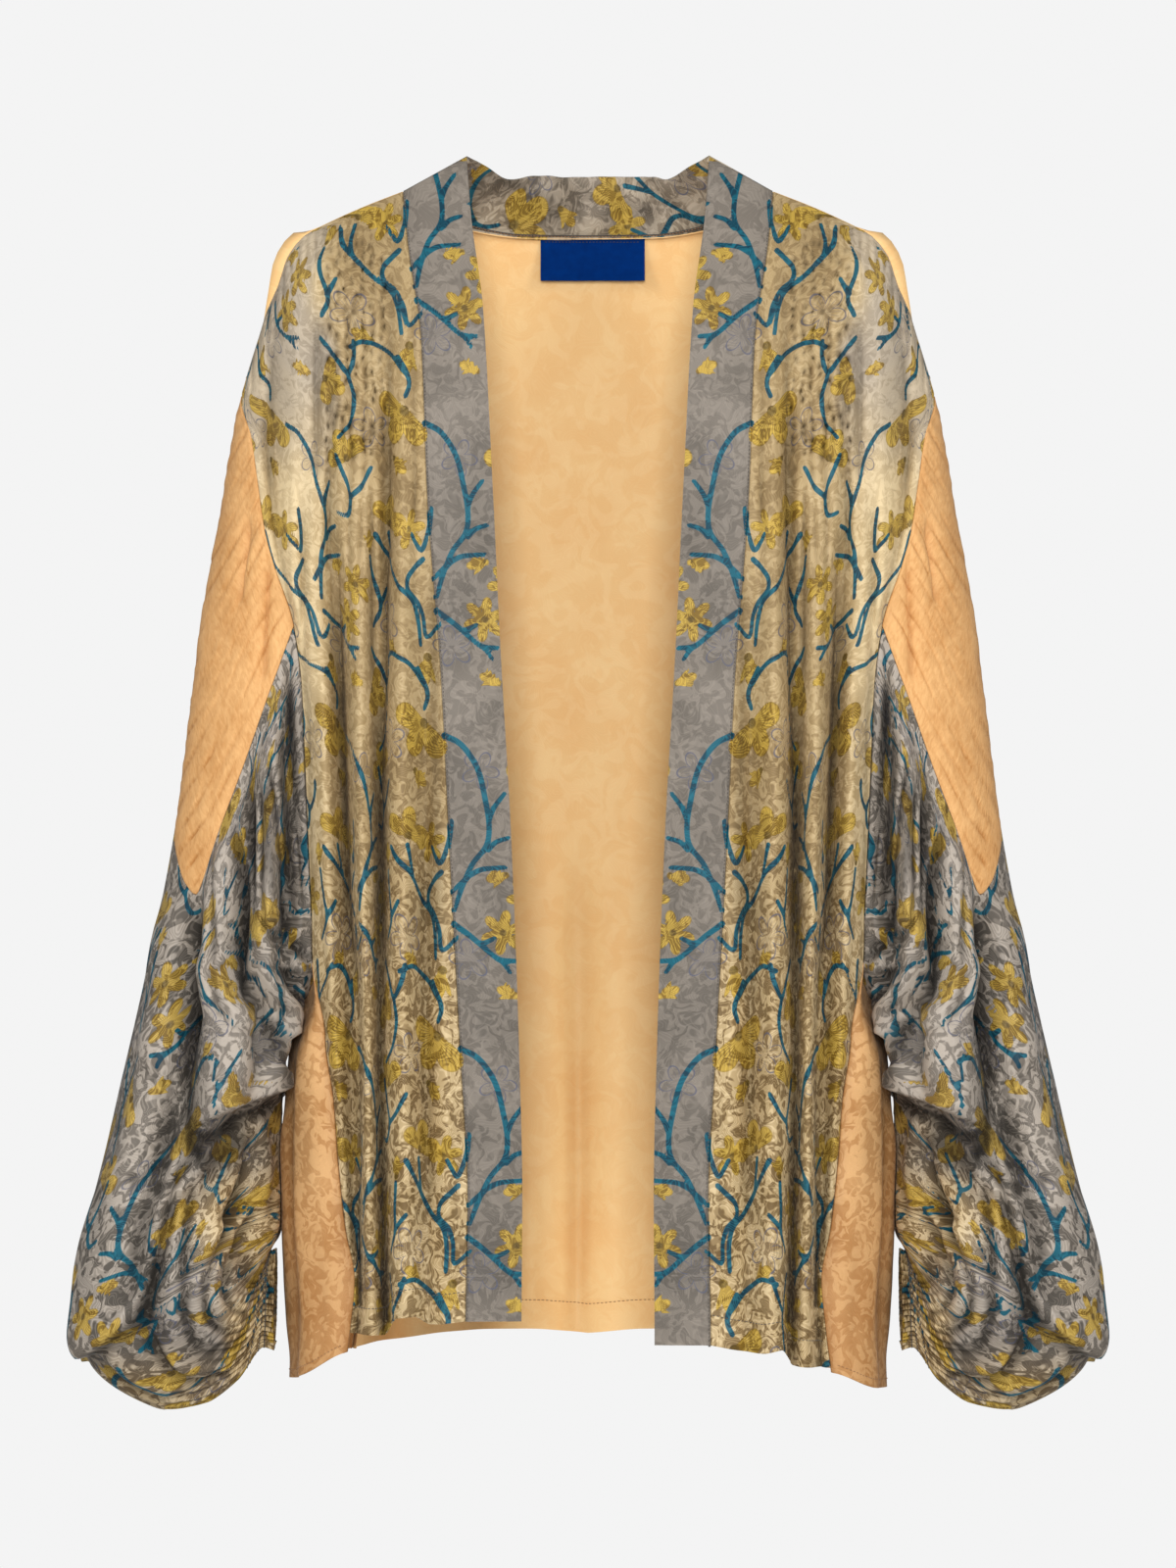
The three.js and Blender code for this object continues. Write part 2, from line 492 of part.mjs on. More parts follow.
// The back's upper edge: the neck seam as far as the shoulder, and then the shoulder seam.
function backTop(share) {
  if (share > NECK_SHARE) return shoulderPoint((share - NECK_SHARE) / (1 - NECK_SHARE));
  return neckLine("seam", share / NECK_SHARE);
}
function backPoint(u, v) {
  const share = Math.abs(u);
  const [topX, topY, topZ] = backTop(share);
  const z = lerp(topZ, read(BACK_HEM, "z", share), v);
  const fall = topZ - z;
  const settle = lerp(SETTLE, SETTLE_OUT, share * share);
  const fan = (topX - share * shoulderReach(topZ)) * (1 - ramp(0, settle, fall));
  const x = share * shoulderReach(z) + fan;
  const hang = lerp(topY, read(BACK_DEPTH, "y", z, "z"), quarterTurn(fall / SHOULDER_FALL));
  const outer = outerEdge(z).y + topY * Math.exp(-((fall / 30) ** 2));
  const clear = ramp(0, 60, fall) * (1 - ramp(0.9, 1, share));
  const shoulder = Math.max(0, (share - NECK_SHARE) / (1 - NECK_SHARE));
  const rolled = SHOULDER_ROLL * (fall / ROLL_FALL) * Math.exp(1 - fall / ROLL_FALL)
    * ramp(0.3, 0.42, shoulder) * (1 - ramp(0.72, 0.92, shoulder));
  const [rollX, , rollZ] = shoulderNormal(shoulder);
  const folds = foldsAt(BACK_FOLDS, Math.sign(u) * x, z) * clear;
  return [
    Math.sign(u) * (x + rolled * rollX),
    lerp(hang, outer, ramp(0.55, 1, share) ** 1.5) + spread(shoulder, fall) + folds,
    z + rolled * rollZ,
  ];
}
function backPanel() {
  const hemZ = (u) => read(BACK_HEM, "z", Math.abs(u));
  const edge = (u) => (v) => {
    const z = lerp(backTop(1)[2], hemZ(u), v);
    return mirrored(Math.sign(u), outerNormal(z, 1));
  };
  return wall({
    across: steps([-1, -NECK_SHARE, SHOULDER_CELLS], [-NECK_SHARE, 0, NECK_CELLS],
      [0, NECK_SHARE, NECK_CELLS], [NECK_SHARE, 1, SHOULDER_CELLS]),
    along: rowsBetween(SEAM_ROWS[0], -read(BACK_HEM, "z", 1)).toSpliced(1, 0, ROLL_FALL / 720),
    point: backPoint,
    outward: () => [0, 1, 0],
    sewn: ["first", "last", "top"],
    normals: {
      first: edge(-1),
      last: edge(1),
      top: (u) => {
        const share = Math.abs(u);
        if (share > NECK_SHARE - 0.01)
          return mirrored(Math.sign(u), shoulderNormal(Math.max(0, share - NECK_SHARE) / (1 - NECK_SHARE)));
        return mirrored(Math.sign(u) || 1, neckNormal(share / NECK_SHARE));
      },
    },
  });
}

function neckPoint(u, v) {
  const seam = neckLine("seam", Math.abs(v));
  const [x, y, z] = neckLine("edge", Math.abs(v)).map((value, k) => lerp(value, seam[k], u));
  return [Math.sign(v) * x, y, z];
}
function neckNormal(at) {
  const ends = [Math.max(0, at - 0.03), Math.min(1, at + 0.03)].map((k) => new THREE.Vector3(...neckPoint(1, k || 1e-6)));
  const across = new THREE.Vector3(...neckPoint(1, at || 1e-6)).sub(new THREE.Vector3(...neckPoint(0, at || 1e-6)));
  return ends[1].sub(ends[0]).cross(across).normalize().toArray();
}
function neckBand() {
  return wall({
    across: even(0, 1, 3),
    along: even(-1, 1, 2 * NECK_CELLS),
    point: neckPoint,
    outward: () => [0, 1, 0.3],
    sewn: ["last", "top", "foot"],
    normals: {
      last: (v) => mirrored(Math.sign(v) || 1, neckNormal(Math.abs(v))),
      top: () => mirrored(-1, bandNormal(0)),
      foot: () => bandNormal(0),
    },
  });
}

function frontBand({ word, hand }) {
  const foot = -read(FRONT_HEM, word, 0) - BAND_DROP;
  return wall({
    across: even(0, 1, 3),
    along: frontRows(word),
    point: (u, v) => {
      const [edge, seam] = [bandEdge(v * foot, foot + BAND_DROP), bandSeam(v * foot)];
      const crown = 1.2 * Math.sin(Math.PI * u) * ramp(0, 0.1, v);
      return mirrored(hand, [lerp(edge[0], seam[0], u), lerp(edge[1], seam[1], u) - crown, lerp(edge[2], seam[2], u)]);
    },
    outward: () => [0, -1, 0.1],
    sewn: ["last", "top"],
    normals: {
      last: (v) => mirrored(hand, bandNormal(v * foot)),
      top: () => mirrored(hand, bandNormal(0)),
    },
  });
}

const SIDE_CELLS = 8;
// Where the side panel is sewn under the sleeve, from the front (0) round to the back (1).
const UNDERARM_CURVE = 1.3;
const UNDERARM_ROOM = 0.9; // how far the side panel's top stays below its seam with the sleeve
const sideTopDown = (u) => lerp(UNDERARM, ARMHOLE_END, Math.abs(2 * u - 1) ** UNDERARM_CURVE);
function sideTop(u) {
  return sleevePoint(sleeveStart(sideTopDown(u)), sideTopDown(u), u < 0.5 ? -1 : 1);
}
function sidePanel({ word, hand }) {
  const hanging = (u, z) => {
    const seam = outerEdge(z);
    const fold = foldsAt(SIDE_FOLDS, u, z);
    return [seam.x + (read(SIDE, "reach", z, "z") + fold - seam.x) * Math.sin(Math.PI * u) ** 0.8, -seam.y * Math.cos(Math.PI * u)];
  };
  const point = (u, v) => {
    const top = sideTop(u);
    const z = lerp(top[2], read(SIDE_HEM, word, u), v);
    const [x, y] = hanging(u, z);
    const [topX, topY] = hanging(u, top[2]);
    const drawn = 1 - ramp(0, 45, top[2] - z);
    return mirrored(hand, [x + (top[0] - topX) * drawn, y + (top[1] - topY) * drawn, z]);
  };
  return wall({
    across: even(0, 1, SIDE_CELLS),
    along: rowsBetween(ARMHOLE_END, -read(SIDE_HEM, word, 0)),
    point,
    outward: () => [hand, 0, 0],
    sewn: ["first", "last", "top"],
    room: UNDERARM_ROOM,
    normals: {
      first: (v) => mirrored(hand, outerNormal(lerp(sideTop(0)[2], read(SIDE_HEM, word, 0), v), -1)),
      last: (v) => mirrored(hand, outerNormal(lerp(sideTop(1)[2], read(SIDE_HEM, word, 1), v), 1)),
      top: (u) => mirrored(hand, underarmNormal(Math.abs(2 * u - 1), u < 0.5 ? -1 : 1)),
    },
  });
}

const INSERT_CELLS = 6;
const SLEEVE_CELLS = 12;
const seamAt = (u) => ({ round: read(INSERT_SEAM, "round", u), down: read(INSERT_SEAM, "down", u) });
// The share of the half sleeve that a place round its section stands for.
const shareOf = (round, down) => (round - sleeveStart(down)) / (1 - sleeveStart(down));
const roundOf = (share, down) => lerp(sleeveStart(down), 1, share);

function insertPlace(u, v) {
  const seam = seamAt(u);
  const down = lerp(INSERT_TOP, seam.down, v);
  return { round: roundOf(lerp(u, shareOf(seam.round, seam.down), v), down), down };
}
// Quilted ribs that climb outwards across the insert.
function quilting(u, v) {
  const { down } = insertPlace(u, v);
  const inside = ramp(0, 0.1, u) * ramp(0.02, 0.1, v) * (1 - ramp(0.92, 1, v));
  return QUILT_DEPTH * inside * (0.5 + 0.5 * Math.cos((2 * Math.PI * (down + 90 * u)) / QUILT_PITCH));
}
function sleeveInsert({ hand }) {
  const half = (u) => 1 - Math.abs(u);
  const face = (u) => (u < 0 ? -1 : 1);
  const at = (u, v) => insertPlace(half(u), v);
  return wall({
    across: even(-1, 1, 2 * INSERT_CELLS),
    along: finer(rowsBetween(INSERT_TOP, SMOCK_END), 3),
    point: (u, v) => {
      const { round, down } = at(u, v);
      const edge = outerEdge(-down);
      return mirrored(hand, half(u) === 0 ? [edge.x, face(u) * edge.y, -down] : sleevePoint(round, down, face(u)));
    },
    outward: () => [hand, 0, 0],
    relief: (u, v) => quilting(half(u), v),
    sewn: ["first", "last", "foot"],
    normals: Object.fromEntries([["first", -1], ["last", 1]].map(([edge, u]) => [
      edge, (v) => mirrored(hand, sleeveNormal(at(u, v).round, at(u, v).down, u)),
    ]).concat([["foot", (u) => mirrored(hand, sleeveNormal(at(u, 1).round, at(u, 1).down, face(u)))]])),
  });
}

function sleevePlace(u, v) {
  const seam = seamAt(u);
  const down = lerp(seam.down, SLEEVE.at(-1).down, v);
  return { round: roundOf(lerp(shareOf(seam.round, seam.down), u, ramp(0, 0.5, v)), down), down };
}
function sleeveCloth(u, v, face) {
  if (v === 0) {
    const seam = (k) => sleevePoint(seamAt(k).round, seamAt(k).down, face);
    return bent(even(0, 1, INSERT_CELLS), u, seam);
  }
  const { round, down } = sleevePlace(u, v);
  const base = sleevePoint(round, down, face);
  const normal = sleeveNormal(round, down, face);
  const share = shareOf(round, down);
  const clear = ramp(0, 0.08, share) * (1 - ramp(0.93, 1, share)) * ramp(0, 0.07, v) * (1 - ramp(CUFF - 40, CUFF, down));
  const gathers = 1.6 * Math.cos(Math.PI * 12 * share) * ramp(CUFF - 90, CUFF - 10, down)
    * ramp(0, 0.04, share) * (1 - ramp(0.96, 1, share));
  const [folded, sagging] = face < 0 ? [share, 1] : [0.95 * share + 0.04, 0.6];
  const out = (foldsAt(SLEEVE_FOLDS, folded, down) + sagging * pouchesAt(folded, down)) * clear + gathers;
  return base.map((value, k) => value + out * normal[k]);
}
function sleevePanel({ hand }, face) {
  const place = (u, v) => sleevePlace(u, v);
  const normalAt = (u, v) => mirrored(hand, sleeveNormal(place(u, v).round, place(u, v).down, face));
  const armhole = (v) => {
    const { down } = place(0, v);
    if (down > UNDERARM + 1) return normalAt(0, v);
    if (down <= ARMHOLE_END) return mirrored(hand, outerNormal(-down, face));
    const share = Math.max(0, UNDERARM - down) / (UNDERARM - ARMHOLE_END);
    return mirrored(hand, underarmNormal(share ** (1 / UNDERARM_CURVE), face));
  };
  const sewnRows = SEAM_ROWS.filter((down) => down >= SMOCK_END && down < ARMHOLE_END);
  const underarm = even(0, 0.5, SIDE_CELLS / 2).map(sideTopDown);
  const rows = [...sewnRows, ...underarm, ...even(UNDERARM, SLEEVE.at(-1).down, 14).slice(1)];
  return wall({
    across: even(0, 1, SLEEVE_CELLS),
    along: rows.map((down) => (down - SMOCK_END) / (SLEEVE.at(-1).down - SMOCK_END)),
    point: (u, v) => mirrored(hand, sleeveCloth(u, v, face)),
    outward: (u, v) => normalAt(u, v),
    sewn: ["first", "last", "top"],
    normals: { first: armhole, last: (v) => normalAt(1, v), top: (u) => normalAt(u, 0) },
  });
}

// A blank woven label, sewn along its top edge inside the back of the neck and leaning away below.
function neckLabel() {
  const top = -read(NECK, "seamZ", 0) + 1;
  return wall({
    across: even(-0.5, 0.5, 4),
    along: even(0, 1, 3),
    point: (u, v) => {
      const x = LABEL.middle + u * LABEL.width;
      const z = -top - v * LABEL.height;
      const share = (NECK_SHARE * NECK[1].at * Math.abs(x)) / NECK[1].seamX;
      const backY = backPoint(share + 1e-6, (read(NECK, "seamZ", 0) - z) / (read(NECK, "seamZ", 0) - BACK_HEM[0].z))[1];
      return [x, backY - LABEL.stand - LABEL.lean * v ** 1.3, z];
    },
    outward: () => [0, -1, 0],
    thick: LABEL.thick,
  });
}

const finish = (color, roughness) => new THREE.MeshStandardMaterial({ color, roughness, metalness: 0 });
const finishes = {
  print: finish(0xa39a82, 0.45),
  band: finish(0x8f8d8c, 0.5),
  sleeve: finish(0x8b8781, 0.42),
  plain: finish(0xe2b57e, 0.5),
  quilted: finish(0xd9a061, 0.6),
  label: finish(0x12387f, 0.7),
};

const jacket = new THREE.Group();
function add(name, geometry, material) {
  const mesh = new THREE.Mesh(geometry, material);
  mesh.name = name;
  jacket.add(mesh);
}
add("back_panel", backPanel(), finishes.plain);
add("neck_band", neckBand(), finishes.band);
add("neck_label", neckLabel(), finishes.label);
for (const side of SIDES) {
  add(`front_panel_${side.word}`, frontPanel(side), finishes.print);
  add(`front_band_${side.word}`, frontBand(side), finishes.band);
  add(`side_panel_${side.word}`, sidePanel(side), finishes.plain);
  add(`sleeve_insert_${side.word}`, sleeveInsert(side), finishes.quilted);
  add(`sleeve_front_${side.word}`, sleevePanel(side, -1), finishes.sleeve);
  add(`sleeve_back_${side.word}`, sleevePanel(side, 1), finishes.sleeve);
}

export default jacket;
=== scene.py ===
"""A hip-length open kimono jacket in silk jacquard, hanging as it is worn, with nobody in it.

Printed fronts, neck band and balloon sleeves; plain back, side panels and quilted sleeve inserts.
Sizes are in millimetres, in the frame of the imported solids: +X to the wearer's left, -Y to the
front, +Z up. A mesh is turned into metres where it is made.
"""
import logging
from dataclasses import dataclass, field
from enum import Enum
from typing import Any, Sequence, Union

import bpy
import numpy as np
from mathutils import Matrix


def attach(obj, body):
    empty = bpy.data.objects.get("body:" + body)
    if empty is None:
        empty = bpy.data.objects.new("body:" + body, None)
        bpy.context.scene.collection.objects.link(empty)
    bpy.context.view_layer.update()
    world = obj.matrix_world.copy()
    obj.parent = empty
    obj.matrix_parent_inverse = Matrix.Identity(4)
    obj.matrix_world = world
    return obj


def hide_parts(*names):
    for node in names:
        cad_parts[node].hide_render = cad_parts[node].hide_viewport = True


Array = np.ndarray
Number = Union[float, Array]
LOG = logging.getLogger("jacket")
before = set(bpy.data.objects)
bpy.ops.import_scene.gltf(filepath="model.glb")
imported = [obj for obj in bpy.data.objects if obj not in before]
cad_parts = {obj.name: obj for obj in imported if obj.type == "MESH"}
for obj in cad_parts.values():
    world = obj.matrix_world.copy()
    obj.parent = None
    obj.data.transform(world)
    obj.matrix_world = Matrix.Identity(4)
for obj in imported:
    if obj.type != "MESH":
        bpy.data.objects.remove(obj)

METRES = 0.001
# Thickness of the cloth, of a band, which is folded double, and of the label's tape.
CLOTH = 0.9
FOLDED = 1.6
TAPE = 0.7
# How deep a sewn edge rolls in, and how far it reaches back behind its seam.
SEAM_ROLL = 0.5
SEAM_ALLOWANCE = 4.5
# Falls over which the cloth turns down from the shoulder and spreads to its hanging width, near the
# neck and at the outer edge.
SHOULDER_FALL = 95
SETTLE = 130
SETTLE_OUT = 30
# Height of the back's roll over the shoulder seam, and the fall at its crest.
SHOULDER_ROLL = 9
ROLL_FALL = 7
# The share of half the back's top edge that lies along the neck.
NECK_SHARE = 0.5
# The front band: how far its seam starts below the shoulder, and how far its free edge is tucked back.
BAND_DROP = 22
BAND_TUCK = 3
# Places down the sleeve, in the measure of its table: as far as the armhole's end they are depths below
# the shoulder rest, and from there they follow the sleeve's bend.
ARMHOLE_TOP = 149
ARMHOLE_END = 512
UNDERARM = 548
INSERT_TOP = 153
CUFF = 858
SLEEVE_END = 868
# Depth below the shoulder rest at which the print's chart starts on the front.
CHART_START = 369.5
# The smocked field of a front, across and down.
SMOCK_IN = 124
SMOCK_OUT = 171
SMOCK_TOP = 46
SMOCK_END = 208
# One rib of the insert to the next.
QUILT_PITCH = 9
# How round the side panel's top edge runs under the arm: 1 would be straight on each side.
UNDERARM_CURVE = 1.3
# What all satin has in common.
SATIN = {"Specular IOR Level": 0.16, "Sheen Weight": 0.04, "Sheen Roughness": 0.4}


def lerp(a: Number, b: Number, t: Number) -> Number:
    """Returns the value a share t of the way from a to b."""
    return a + (b - a) * t


def ramp(low: Number, high: Number, at: Number) -> Number:
    """Returns 0 below low, 1 above high and a smooth step 3t^2 - 2t^3 between them."""
    t = np.clip((np.asarray(at, float) - low) / (np.asarray(high, float) - low), 0, 1)
    return t * t * (3 - 2 * t)


def stack(x: Number, y: Number, z: Number) -> Array:
    """Returns points from their three coordinates, which may be numbers or arrays."""
    return np.stack(np.broadcast_arrays(x, y, z), axis=-1).astype(float)


def unit(vectors: Array) -> Array:
    """Returns the vectors at length one."""
    long = np.linalg.norm(vectors, axis=-1, keepdims=True)
    return vectors / np.maximum(long, 1e-12)


def hashed(i: Array, j: Array, seed: float) -> Array:
    """Returns a fixed number from 0 to 1 for each pair of whole numbers: the fraction of a large sine."""
    return np.mod(np.sin(i * 12.9898 + j * 78.233 + seed * 37.719) * 43758.5453, 1.0)


def crumple(x: Number, y: Number, seed: float, octaves: int = 2) -> Array:
    """Smooth irregular heights, -1 to 1: hashed values at whole places, eased between them.

    Args:
        x: places across, in units of one bump.
        y: places down, in the same units.
        seed: a number that picks the pattern.
        octaves: how many times the pattern is added again at half the size and height.

    Returns:
        The height at each place.
    """
    x, y = np.broadcast_arrays(np.asarray(x, float), np.asarray(y, float))
    total, reach = np.zeros(x.shape), 0.0
    for octave in range(octaves):
        size = 2.0 ** octave
        i, j = np.floor(x * size), np.floor(y * size)
        s, t = ramp(0, 1, x * size - i), ramp(0, 1, y * size - j)
        corner = [hashed(i + a, j + b, seed + octave) for a, b in ((0, 0), (1, 0), (0, 1), (1, 1))]
        total += lerp(lerp(corner[0], corner[1], s), lerp(corner[2], corner[3], s), t) / size
        reach += 1 / size
    return 2 * total / reach - 1


class Table:
    """Sizes read between their rows as a smooth curve that never overshoots them."""

    def __init__(self, key: str, **columns: Sequence[float]) -> None:
        """Sorts the rows by their key and works out each column's slopes.

        Args:
            key: the column that the others are read along.
            columns: the sizes, one sequence for each column.
        """
        order = np.argsort(columns[key])
        self.at = np.asarray(columns[key], float)[order]
        self.values = {name: np.asarray(column, float)[order] for name, column in columns.items()}
        self.slopes = {name: self._slopes(column) for name, column in self.values.items()}

    def _slopes(self, column: Array) -> Array:
        """Returns the slope at each row: the harmonic mean of its two sides, or 0 at a turn."""
        side = np.diff(column) / np.diff(self.at)
        before, after = side[:-1], side[1:]
        same = before * after > 0
        middle = np.where(same, 2 * before * after / np.where(same, before + after, 1), 0)
        return np.concatenate([side[:1], middle, side[-1:]])

    def read(self, name: str, at: Number) -> Array:
        """Reads one column with a cubic through its rows and their slopes.

        Args:
            name: the column.
            at: the places along the key.

        Returns:
            The sizes at those places.
        """
        x = np.clip(np.asarray(at, float), self.at[0], self.at[-1])
        i = np.clip(np.searchsorted(self.at, x, side="right") - 1, 0, len(self.at) - 2)
        span = self.at[i + 1] - self.at[i]
        t = (x - self.at[i]) / span
        p, q = self.values[name][i], self.values[name][i + 1]
        m, n = self.slopes[name][i] * span, self.slopes[name][i + 1] * span
        ends = (2 * t ** 3 - 3 * t ** 2 + 1) * p + (3 * t ** 2 - 2 * t ** 3) * q
        return ends + (t ** 3 - 2 * t ** 2 + t) * m + (t ** 3 - t ** 2) * n


BAND = Table(
    "down",
    down=(0, 40, 95, 200, 310, 420, 550, 640, 716),
    edge=(77.5, 74, 66.5, 60.5, 55, 48.5, 43.5, 41.5, 42),
    seam=(118, 113.5, 105.5, 101, 92.5, 87, 80, 75.5, 77),
    deep=(0, 34, 58, 76, 83, 86, 87, 87, 87),
)
NECK = Table(
    "at",
    at=(0, 0.35, 0.6, 0.8, 1),
    edge_x=(0, 33, 50, 64, 77.5),
    edge_y=(50, 47, 37, 21, 0),
    edge_z=(-10, -9, -12, -6, 0),
    seam_x=(0, 42, 75, 99, 118),
    seam_y=(62, 59, 47, 26, 0),
    seam_z=(-48, -47.5, -42.5, -33.5, -22),
)
SHOULDER = Table(
    "at",
    at=(0, 0.15, 0.3, 0.4, 0.5, 0.6, 0.7, 0.8, 0.92, 1),
    x=(118, 142.6, 167.4, 180, 191, 197, 204, 209.6, 215.8, 220),
    y=(0, 0, -1, -4, -7, -8, -6, -1, 1, 0),
    z=(-22, -31.6, -43, -50, -64, -82, -98, -115, -134.5, -149),
)
SLEEVE = Table(
    "down",
    down=(149, 177, 208, 239, 263, 300, 338, 387, 431, 480, 512, 530, 548, 580, 620, 660, 695, 725,
          750, 775, 800, 822, 842, 858, 868),
    out_x=(220, 225.5, 230.5, 235.6, 240.5, 246.5, 251, 257, 263.5, 272.5, 279.5, 284, 289, 297, 307,
           317, 324, 325, 317, 295, 267, 244, 223, 207, 200),
    out_z=(-149, -177, -208, -239, -263, -300, -338, -387, -431, -480, -512, -532, -554, -588, -632,
           -675, -712, -742, -768, -787, -797, -793, -778, -757, -759),
    in_x=(130, 129.5, 130.5, 131.6, 132.5, 132.5, 131, 131, 131.5, 132.5, 136, 166, 190, 195, 195.5,
          196, 196.5, 197.5, 199, 200.5, 202, 203, 203.5, 203, 199),
    in_z=(-149, -177, -208, -239, -263, -300, -338, -387, -431, -480, -512, -530, -548, -580, -612,
          -640, -662, -677, -686, -692, -695.5, -697.5, -699, -700, -698),
    deep=(40, 46, 52, 56, 58, 58, 58, 58, 58, 59, 60, 61, 62, 64, 67, 70, 71, 70, 66, 59, 50, 42, 34,
          28.5, 33),
    start=(1, 0.78, 0.697, 0.632, 0.568, 0.48, 0.447, 0.423, 0.4, 0.371, 0.345, 0.19, 0, 0, 0, 0, 0,
           0, 0, 0, 0, 0, 0, 0, 0),
)
INSERT_SEAM = Table(
    "at",
    at=(0, 0.2, 0.35, 0.48, 0.6, 0.72, 0.86, 1),
    round=(0.48, 0.552, 0.619, 0.685, 0.738, 0.79, 0.88, 1),
    down=(300, 341, 386, 430, 470, 464, 446, 425),
)
SIDE = Table(
    "down",
    down=(512, 560, 600, 634, 680, 712, 745, 790),
    x=(166.4, 166, 160.5, 158, 153, 147, 150, 156),
    y=(53, 60, 66, 69, 71, 72, 72, 72),
    reach=(190, 190.5, 192.5, 193.5, 193.5, 192, 190, 191),
)
FRONT_HEM = Table(
    "at",
    at=(0, 0.3, 0.45, 0.6, 0.7, 1),
    right=(-738, -740, -735, -736, -747, -746),
    left=(-753, -757, -758, -756, -766, -768),
)
BACK_HEM = Table("at", at=(0, 0.25, 0.6, 0.85, 1), z=(-755, -752, -754, -759, -764))
SIDE_HEM = Table(
    "at",
    at=(0, 0.25, 0.5, 0.75, 1),
    right=(-758, -774, -778, -774, -764),
    left=(-771, -782, -784, -778, -764),
)
BACK_DEPTH = Table("down", down=(22, 150, 300, 500, 790), y=(62, 68, 72, 75, 79))


class Side(Enum):
    """The wearer's two sides, by the sign of X."""

    RIGHT = -1
    LEFT = 1

    @property
    def word(self) -> str:
        """Returns the side's name in a node's name."""
        return self.name.lower()


class Profile(Enum):
    """How a crease stands across its line."""

    SOFT = "a rounded fold or trough, as a bell curve"
    SHARP = "a pinched fold or trough, falling off evenly from its line"
    LAP = "cloth that ends in a steep edge on the line and falls away slowly on its left"


@dataclass(frozen=True)
class Fold:
    """A broad fold of the hanging cloth along a parabola through three places."""

    top: float
    upper: float
    middle: float
    lower: float
    low: float
    out: float
    wide: float

    def height(self, across: Array, along: Array) -> Array:
        """Works out a bell curve across the parabola, eased in at its top and out past its end.

        Args:
            across: places across the cloth.
            along: heights, or distances down the cloth.

        Returns:
            How far the fold pushes the cloth out at each place.
        """
        t = (along - self.top) / (self.low - self.top)
        line = (2 * (t - 0.5) * (t - 1) * self.upper - 4 * t * (t - 1) * self.middle
                + 2 * t * (t - 0.5) * self.lower)
        faded = ramp(0, 0.3, t) * (1 - ramp(1, 1.15, t))
        return self.out * faded * np.exp(-(((across - line) / self.wide) ** 2))


@dataclass(frozen=True)
class Crease:
    """One listed crease: its line across and down the piece, its height and its width.

    TIP rounds a pinched crease's line and brings its height back to one. LIP is the width of a lap's
    steep edge.
    """

    path: tuple[tuple[float, float], ...]
    height: float
    wide: float
    profile: Profile = Profile.SOFT
    fade: tuple[float, float] = (0.2, 0.2)

    TIP = (0.15, 0.387)
    LIP = 1.6

    def relief(self, across: Array, down: Array) -> Array:
        """Works out the crease's height from the distance to its smooth line.

        Args:
            across: places across the piece.
            down: distances down it.

        Returns:
            How far the crease pushes the cloth out; below zero for a trough.
        """
        out = np.zeros(across.shape)
        line = smooth_line(self.path, 5)
        margin = 6 * self.wide
        low, high = line.min(0) - margin, line.max(0) + margin
        near = (across > low[0]) & (across < high[0]) & (down > low[1]) & (down < high[1])
        if not near.any():
            return out
        off, share = off_line(line, across[near], down[near])
        if self.profile is Profile.SOFT:
            across_it = np.exp(-((off / self.wide) ** 2))
        elif self.profile is Profile.SHARP:
            across_it = np.exp(-np.sqrt((off / self.wide) ** 2 + self.TIP[0]) + self.TIP[1])
        else:
            slope = np.exp(-np.maximum(off, 0) / self.wide) * ramp(0, 1, 3 - off / self.wide)
            across_it = np.where(off > 0, slope, np.exp(-((off / self.LIP) ** 2)))
        start, end = (max(value, 1e-3) for value in self.fade)
        out[near] = self.height * across_it * ramp(0, start, share) * (1 - ramp(1 - end, 1, share))
        return out


def smooth_line(path: Sequence[Sequence[float]], parts: int) -> Array:
    """Runs a Catmull-Rom curve through the points of a path.

    Args:
        path: the points.
        parts: the pieces that each stretch is cut into.

    Returns:
        The points of the curve.
    """
    p = np.asarray(path, float)
    p = np.vstack([2 * p[0] - p[1], p, 2 * p[-1] - p[-2]])
    t = np.linspace(0, 1, parts, endpoint=False)[:, None]
    curves = [
        0.5 * (2 * b + (c - a) * t + (2 * a - 5 * b + 4 * c - d) * t ** 2
               + (3 * b - a - 3 * c + d) * t ** 3)
        for a, b, c, d in zip(p, p[1:], p[2:], p[3:])
    ]
    return np.vstack(curves + [p[-2:-1]])


def off_line(line: Array, x: Array, y: Array) -> tuple[Array, Array]:
    """Finds the nearest place of a line to each point.

    Args:
        line: the corners of the line.
        x: places across.
        y: places down.

    Returns:
        The distance to the line, above zero on its left, and the share of the line's length.
    """
    long = np.linalg.norm(np.diff(line, axis=0), axis=1)
    starts = np.concatenate([[0], np.cumsum(long)])
    best = np.full(x.shape, np.inf)
    signed, share = np.zeros(x.shape), np.zeros(x.shape)
    for (ax, ay), (bx, by), begin, size in zip(line, line[1:], starts, long):
        dx, dy = bx - ax, by - ay
        t = np.clip(((x - ax) * dx + (y - ay) * dy) / max(size * size, 1e-9), 0, 1)
        away = np.hypot(x - ax - t * dx, y - ay - t * dy)
        closer = away < best
        left = np.where(dx * (y - ay) - dy * (x - ax) >= 0, 1.0, -1.0)
        signed = np.where(closer, left * away, signed)
        share = np.where(closer, (begin + t * size) / starts[-1], share)
        best = np.minimum(best, away)
    return signed, share


def relief_of(creases: Sequence[Crease], across: Array, down: Array) -> Array:
    """Returns the sum of the creases at places across and down a piece."""
    return sum((crease.relief(across, down) for crease in creases), np.zeros(across.shape))


def folds_of(folds: Sequence[Fold], across: Array, along: Array) -> Array:
    """Returns the sum of the folds at places across a piece and along it."""
    return sum((fold.height(across, along) for fold in folds), np.zeros(np.shape(across)))


